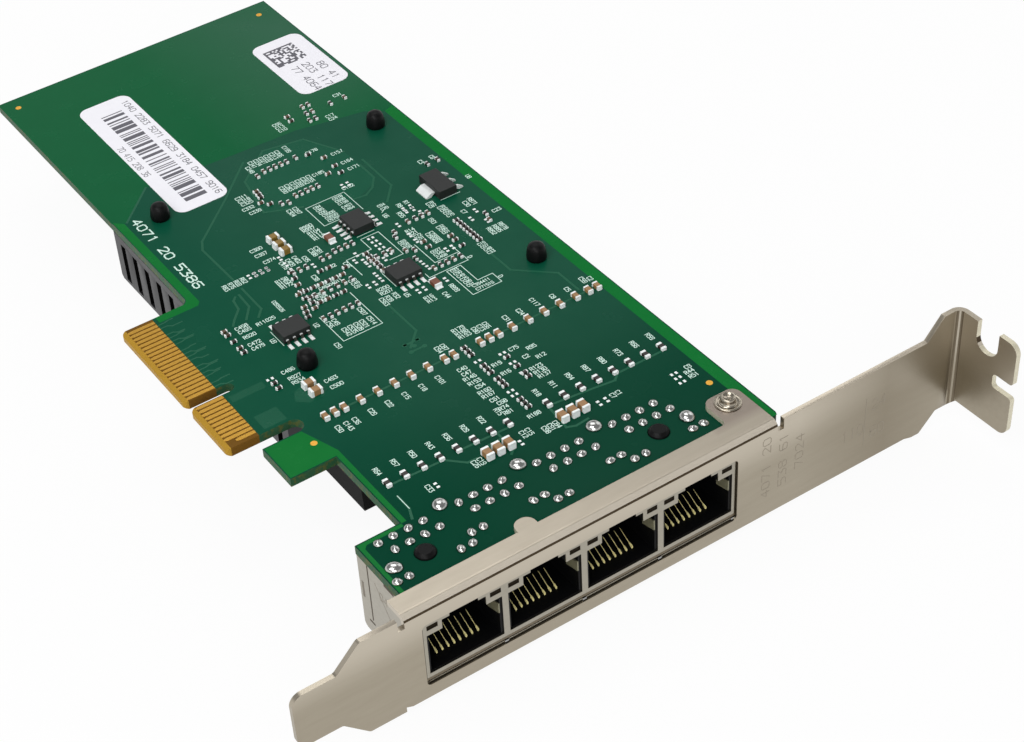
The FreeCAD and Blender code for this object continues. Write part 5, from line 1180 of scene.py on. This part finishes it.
def sideMarks(look):
    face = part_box("jack_shield")[0].y / mm
    for name, material, rows in (("shield_seams", "creaseShadeAndSeamSteel", look["seams"]),
                                 ("shield_side_slot", "shadedSteel", [look["slot"]])):
        piece = Piece()
        for x, length, low, high in rows:
            piece.box(x, face - 0.005, length, look["thickness"], low, high)
        piece.finish(name, material)
    figures, stamps = Piece(), Piece()
    depth = look["depth"]
    for row in look["shieldFigures"]:
        writeText(figures, *row, look["shieldStroke"], 0.0, depth)
    figures.ribbon(look["shieldLine"], look["shieldLineStroke"], 0.0, depth)
    figures.points = [(u, face - w, v) for u, v, w in figures.points]
    fixNormals(figures.finish("shield_side_figures", "markedSteel"))
    for rows, advance in ((look["plateColumns"], look["columnAdvance"]), (look["plateFigures"], None)):
        for row in rows:
            writeText(stamps, *row, look["plateStroke"], 0.0, depth, advance)
    stamps.ribbon(look["plateLine"], look["plateStroke"], 0.0, depth)
    stamps.points = [(look["plateFace"] + w, u, v) for u, v, w in stamps.points]
    fixNormals(stamps.finish("bracket_figures", "markedSteel"))


sideMarks(markLook)
print("marks made")


# ---- studio ----

# angles in degrees, distance, target and lens in millimetres, shift in widths of the frame
studio = {
    "azimuth": -27.67, "elevation": 40.92, "roll": -6.73, "distance": 328.0,
    "target": (16.28, 23.53, solderFace), "lens": 75.44, "shift": (0.13701172, 0.028125),
    "floorColour": "#ececec", "floorGap": 0.6, "floorGlow": 0.93, "floorHalf": 4.0,
    "horizonTop": 0.12, "ceilingStart": 0.5, "ceiling": 0.3, "frontStart": 0.5, "frontEnd": 0.8,
    "frontHorizon": 0.5, "frontLow": 0.03, "frontHigh": 0.14,
}
# places and sizes in metres, power in watts
lamps = {
    "backHigh": {"place": (-0.43, 0.22, 0.88), "target": (0, 0.03, 0), "size": 0.55, "power": 1.9},
    "sideHigh": {"place": (0.2, -0.5, 0.8), "target": (0, 0.03, 0), "size": 0.6, "power": 5.0},
    "frontFill": {"place": (0.75, -0.45, 0.4), "target": (0.03, 0.03, 0), "size": 0.5, "power": 2.5},
    "backSoft": {"place": (-0.2, 0.85, 0.6), "target": (0, 0.03, 0), "size": 0.6, "power": 1.2},
    "farGloss": {"place": (-1.08, 0.33, 0.62), "target": (-0.09, 0.03, 0), "size": 0.3, "power": 0.12},
}


def setCamera(look):
    azimuth, elevation, roll = (math.radians(look[key]) for key in ("azimuth", "elevation", "roll"))
    back = Vector((math.cos(elevation) * math.cos(azimuth), math.cos(elevation) * math.sin(azimuth),
                   math.sin(elevation)))
    right = Vector((-math.sin(azimuth), math.cos(azimuth), 0))
    up = back.cross(right)
    tiltedRight = math.cos(roll) * right + math.sin(roll) * up
    tiltedUp = -math.sin(roll) * right + math.cos(roll) * up
    camera = addObject("camera", bpy.data.cameras.new("camera"))
    axes = Matrix((tiltedRight, tiltedUp, back)).transposed().to_4x4()
    place = Vector(look["target"]) * mm + back * look["distance"] * mm
    camera.matrix_world = Matrix.Translation(place) @ axes
    camera.data.sensor_fit = "HORIZONTAL"
    camera.data.sensor_width = 36
    camera.data.lens = look["lens"]
    camera.data.shift_x, camera.data.shift_y = look["shift"]
    camera.data.clip_start = 0.01
    bpy.context.scene.camera = camera


def areaLight(name, place, target, size, power):
    light = bpy.data.lights.new(name, "AREA")
    light.shape = "SQUARE"
    light.size = size
    light.energy = power
    lamp = addObject(name, light)
    direction = Vector(target) - Vector(place)
    lamp.matrix_world = Matrix.Translation(place) @ direction.to_track_quat("-Z", "Y").to_matrix().to_4x4()


# The floor is lit by the lamps, and glows white to the camera and in reflections.
def setFloor(look):
    material, tree = newMaterial("studioFloor")
    plain = addNode(tree, "ShaderNodeBsdfDiffuse", {"Color": linear(look["floorColour"])})
    glow = addNode(tree, "ShaderNodeEmission", {"Color": (1, 1, 1, 1), "Strength": 1.0})
    path = addNode(tree, "ShaderNodeLightPath").outputs
    seen = math2(tree, "MAXIMUM", math2(tree, "MAXIMUM", path["Is Camera Ray"], path["Is Glossy Ray"]),
                 path["Is Transmission Ray"])
    amount = math2(tree, "MULTIPLY", seen, look["floorGlow"])
    finishMaterial(tree, addNode(tree, "ShaderNodeMixShader", {
        0: amount, 1: plain.outputs[0], 2: glow.outputs[0]}))
    level = boundsAtStart[0].z - look["floorGap"] * mm
    half = look["floorHalf"]
    mesh = bpy.data.meshes.new("studioFloor")
    corners = [(-half, -half), (half, -half), (half, half), (-half, half)]
    mesh.from_pydata([(x, y, level) for x, y in corners], [], [[0, 1, 2, 3]])
    mesh.materials.append(material)
    floor = addObject("studioFloor", mesh)


# A pale horizon, dark in front of the ports, under a dimmer ceiling.
def setWorld(look):
    world = bpy.data.worlds.new("studio")
    bpy.context.scene.world = world
    world.use_nodes = True
    tree = world.node_tree
    tree.nodes.clear()
    generated = addNode(tree, "ShaderNodeTexCoord").outputs["Generated"]
    direction = addNode(tree, "ShaderNodeSeparateXYZ", {0: generated}).outputs
    horizon = ramp(tree, direction["X"], look["frontStart"], look["frontEnd"], 1.0, look["frontHorizon"])
    height = ramp(tree, direction["Z"], look["horizonTop"], look["ceilingStart"])
    lowBand = ramp(tree, direction["Z"], look["frontLow"], look["frontHigh"], 1.0, 0.0)
    room = addNode(tree, "ShaderNodeMix", {0: height, 2: 1.0, 3: look["ceiling"]}).outputs[0]
    shade = addNode(tree, "ShaderNodeMix", {0: lowBand, 2: 1.0, 3: horizon}).outputs[0]
    level = math2(tree, "MULTIPLY", room, shade)
    background = addNode(tree, "ShaderNodeBackground", {"Color": (1, 1, 1, 1), "Strength": level})
    addNode(tree, "ShaderNodeOutputWorld", {"Surface": background.outputs[0]})


setCamera(studio)
setFloor(studio)
setWorld(studio)
for lampName, lamp in lamps.items():
    areaLight(lampName, **lamp)
bpy.context.scene.view_settings.view_transform = "Standard"

print("studio set")
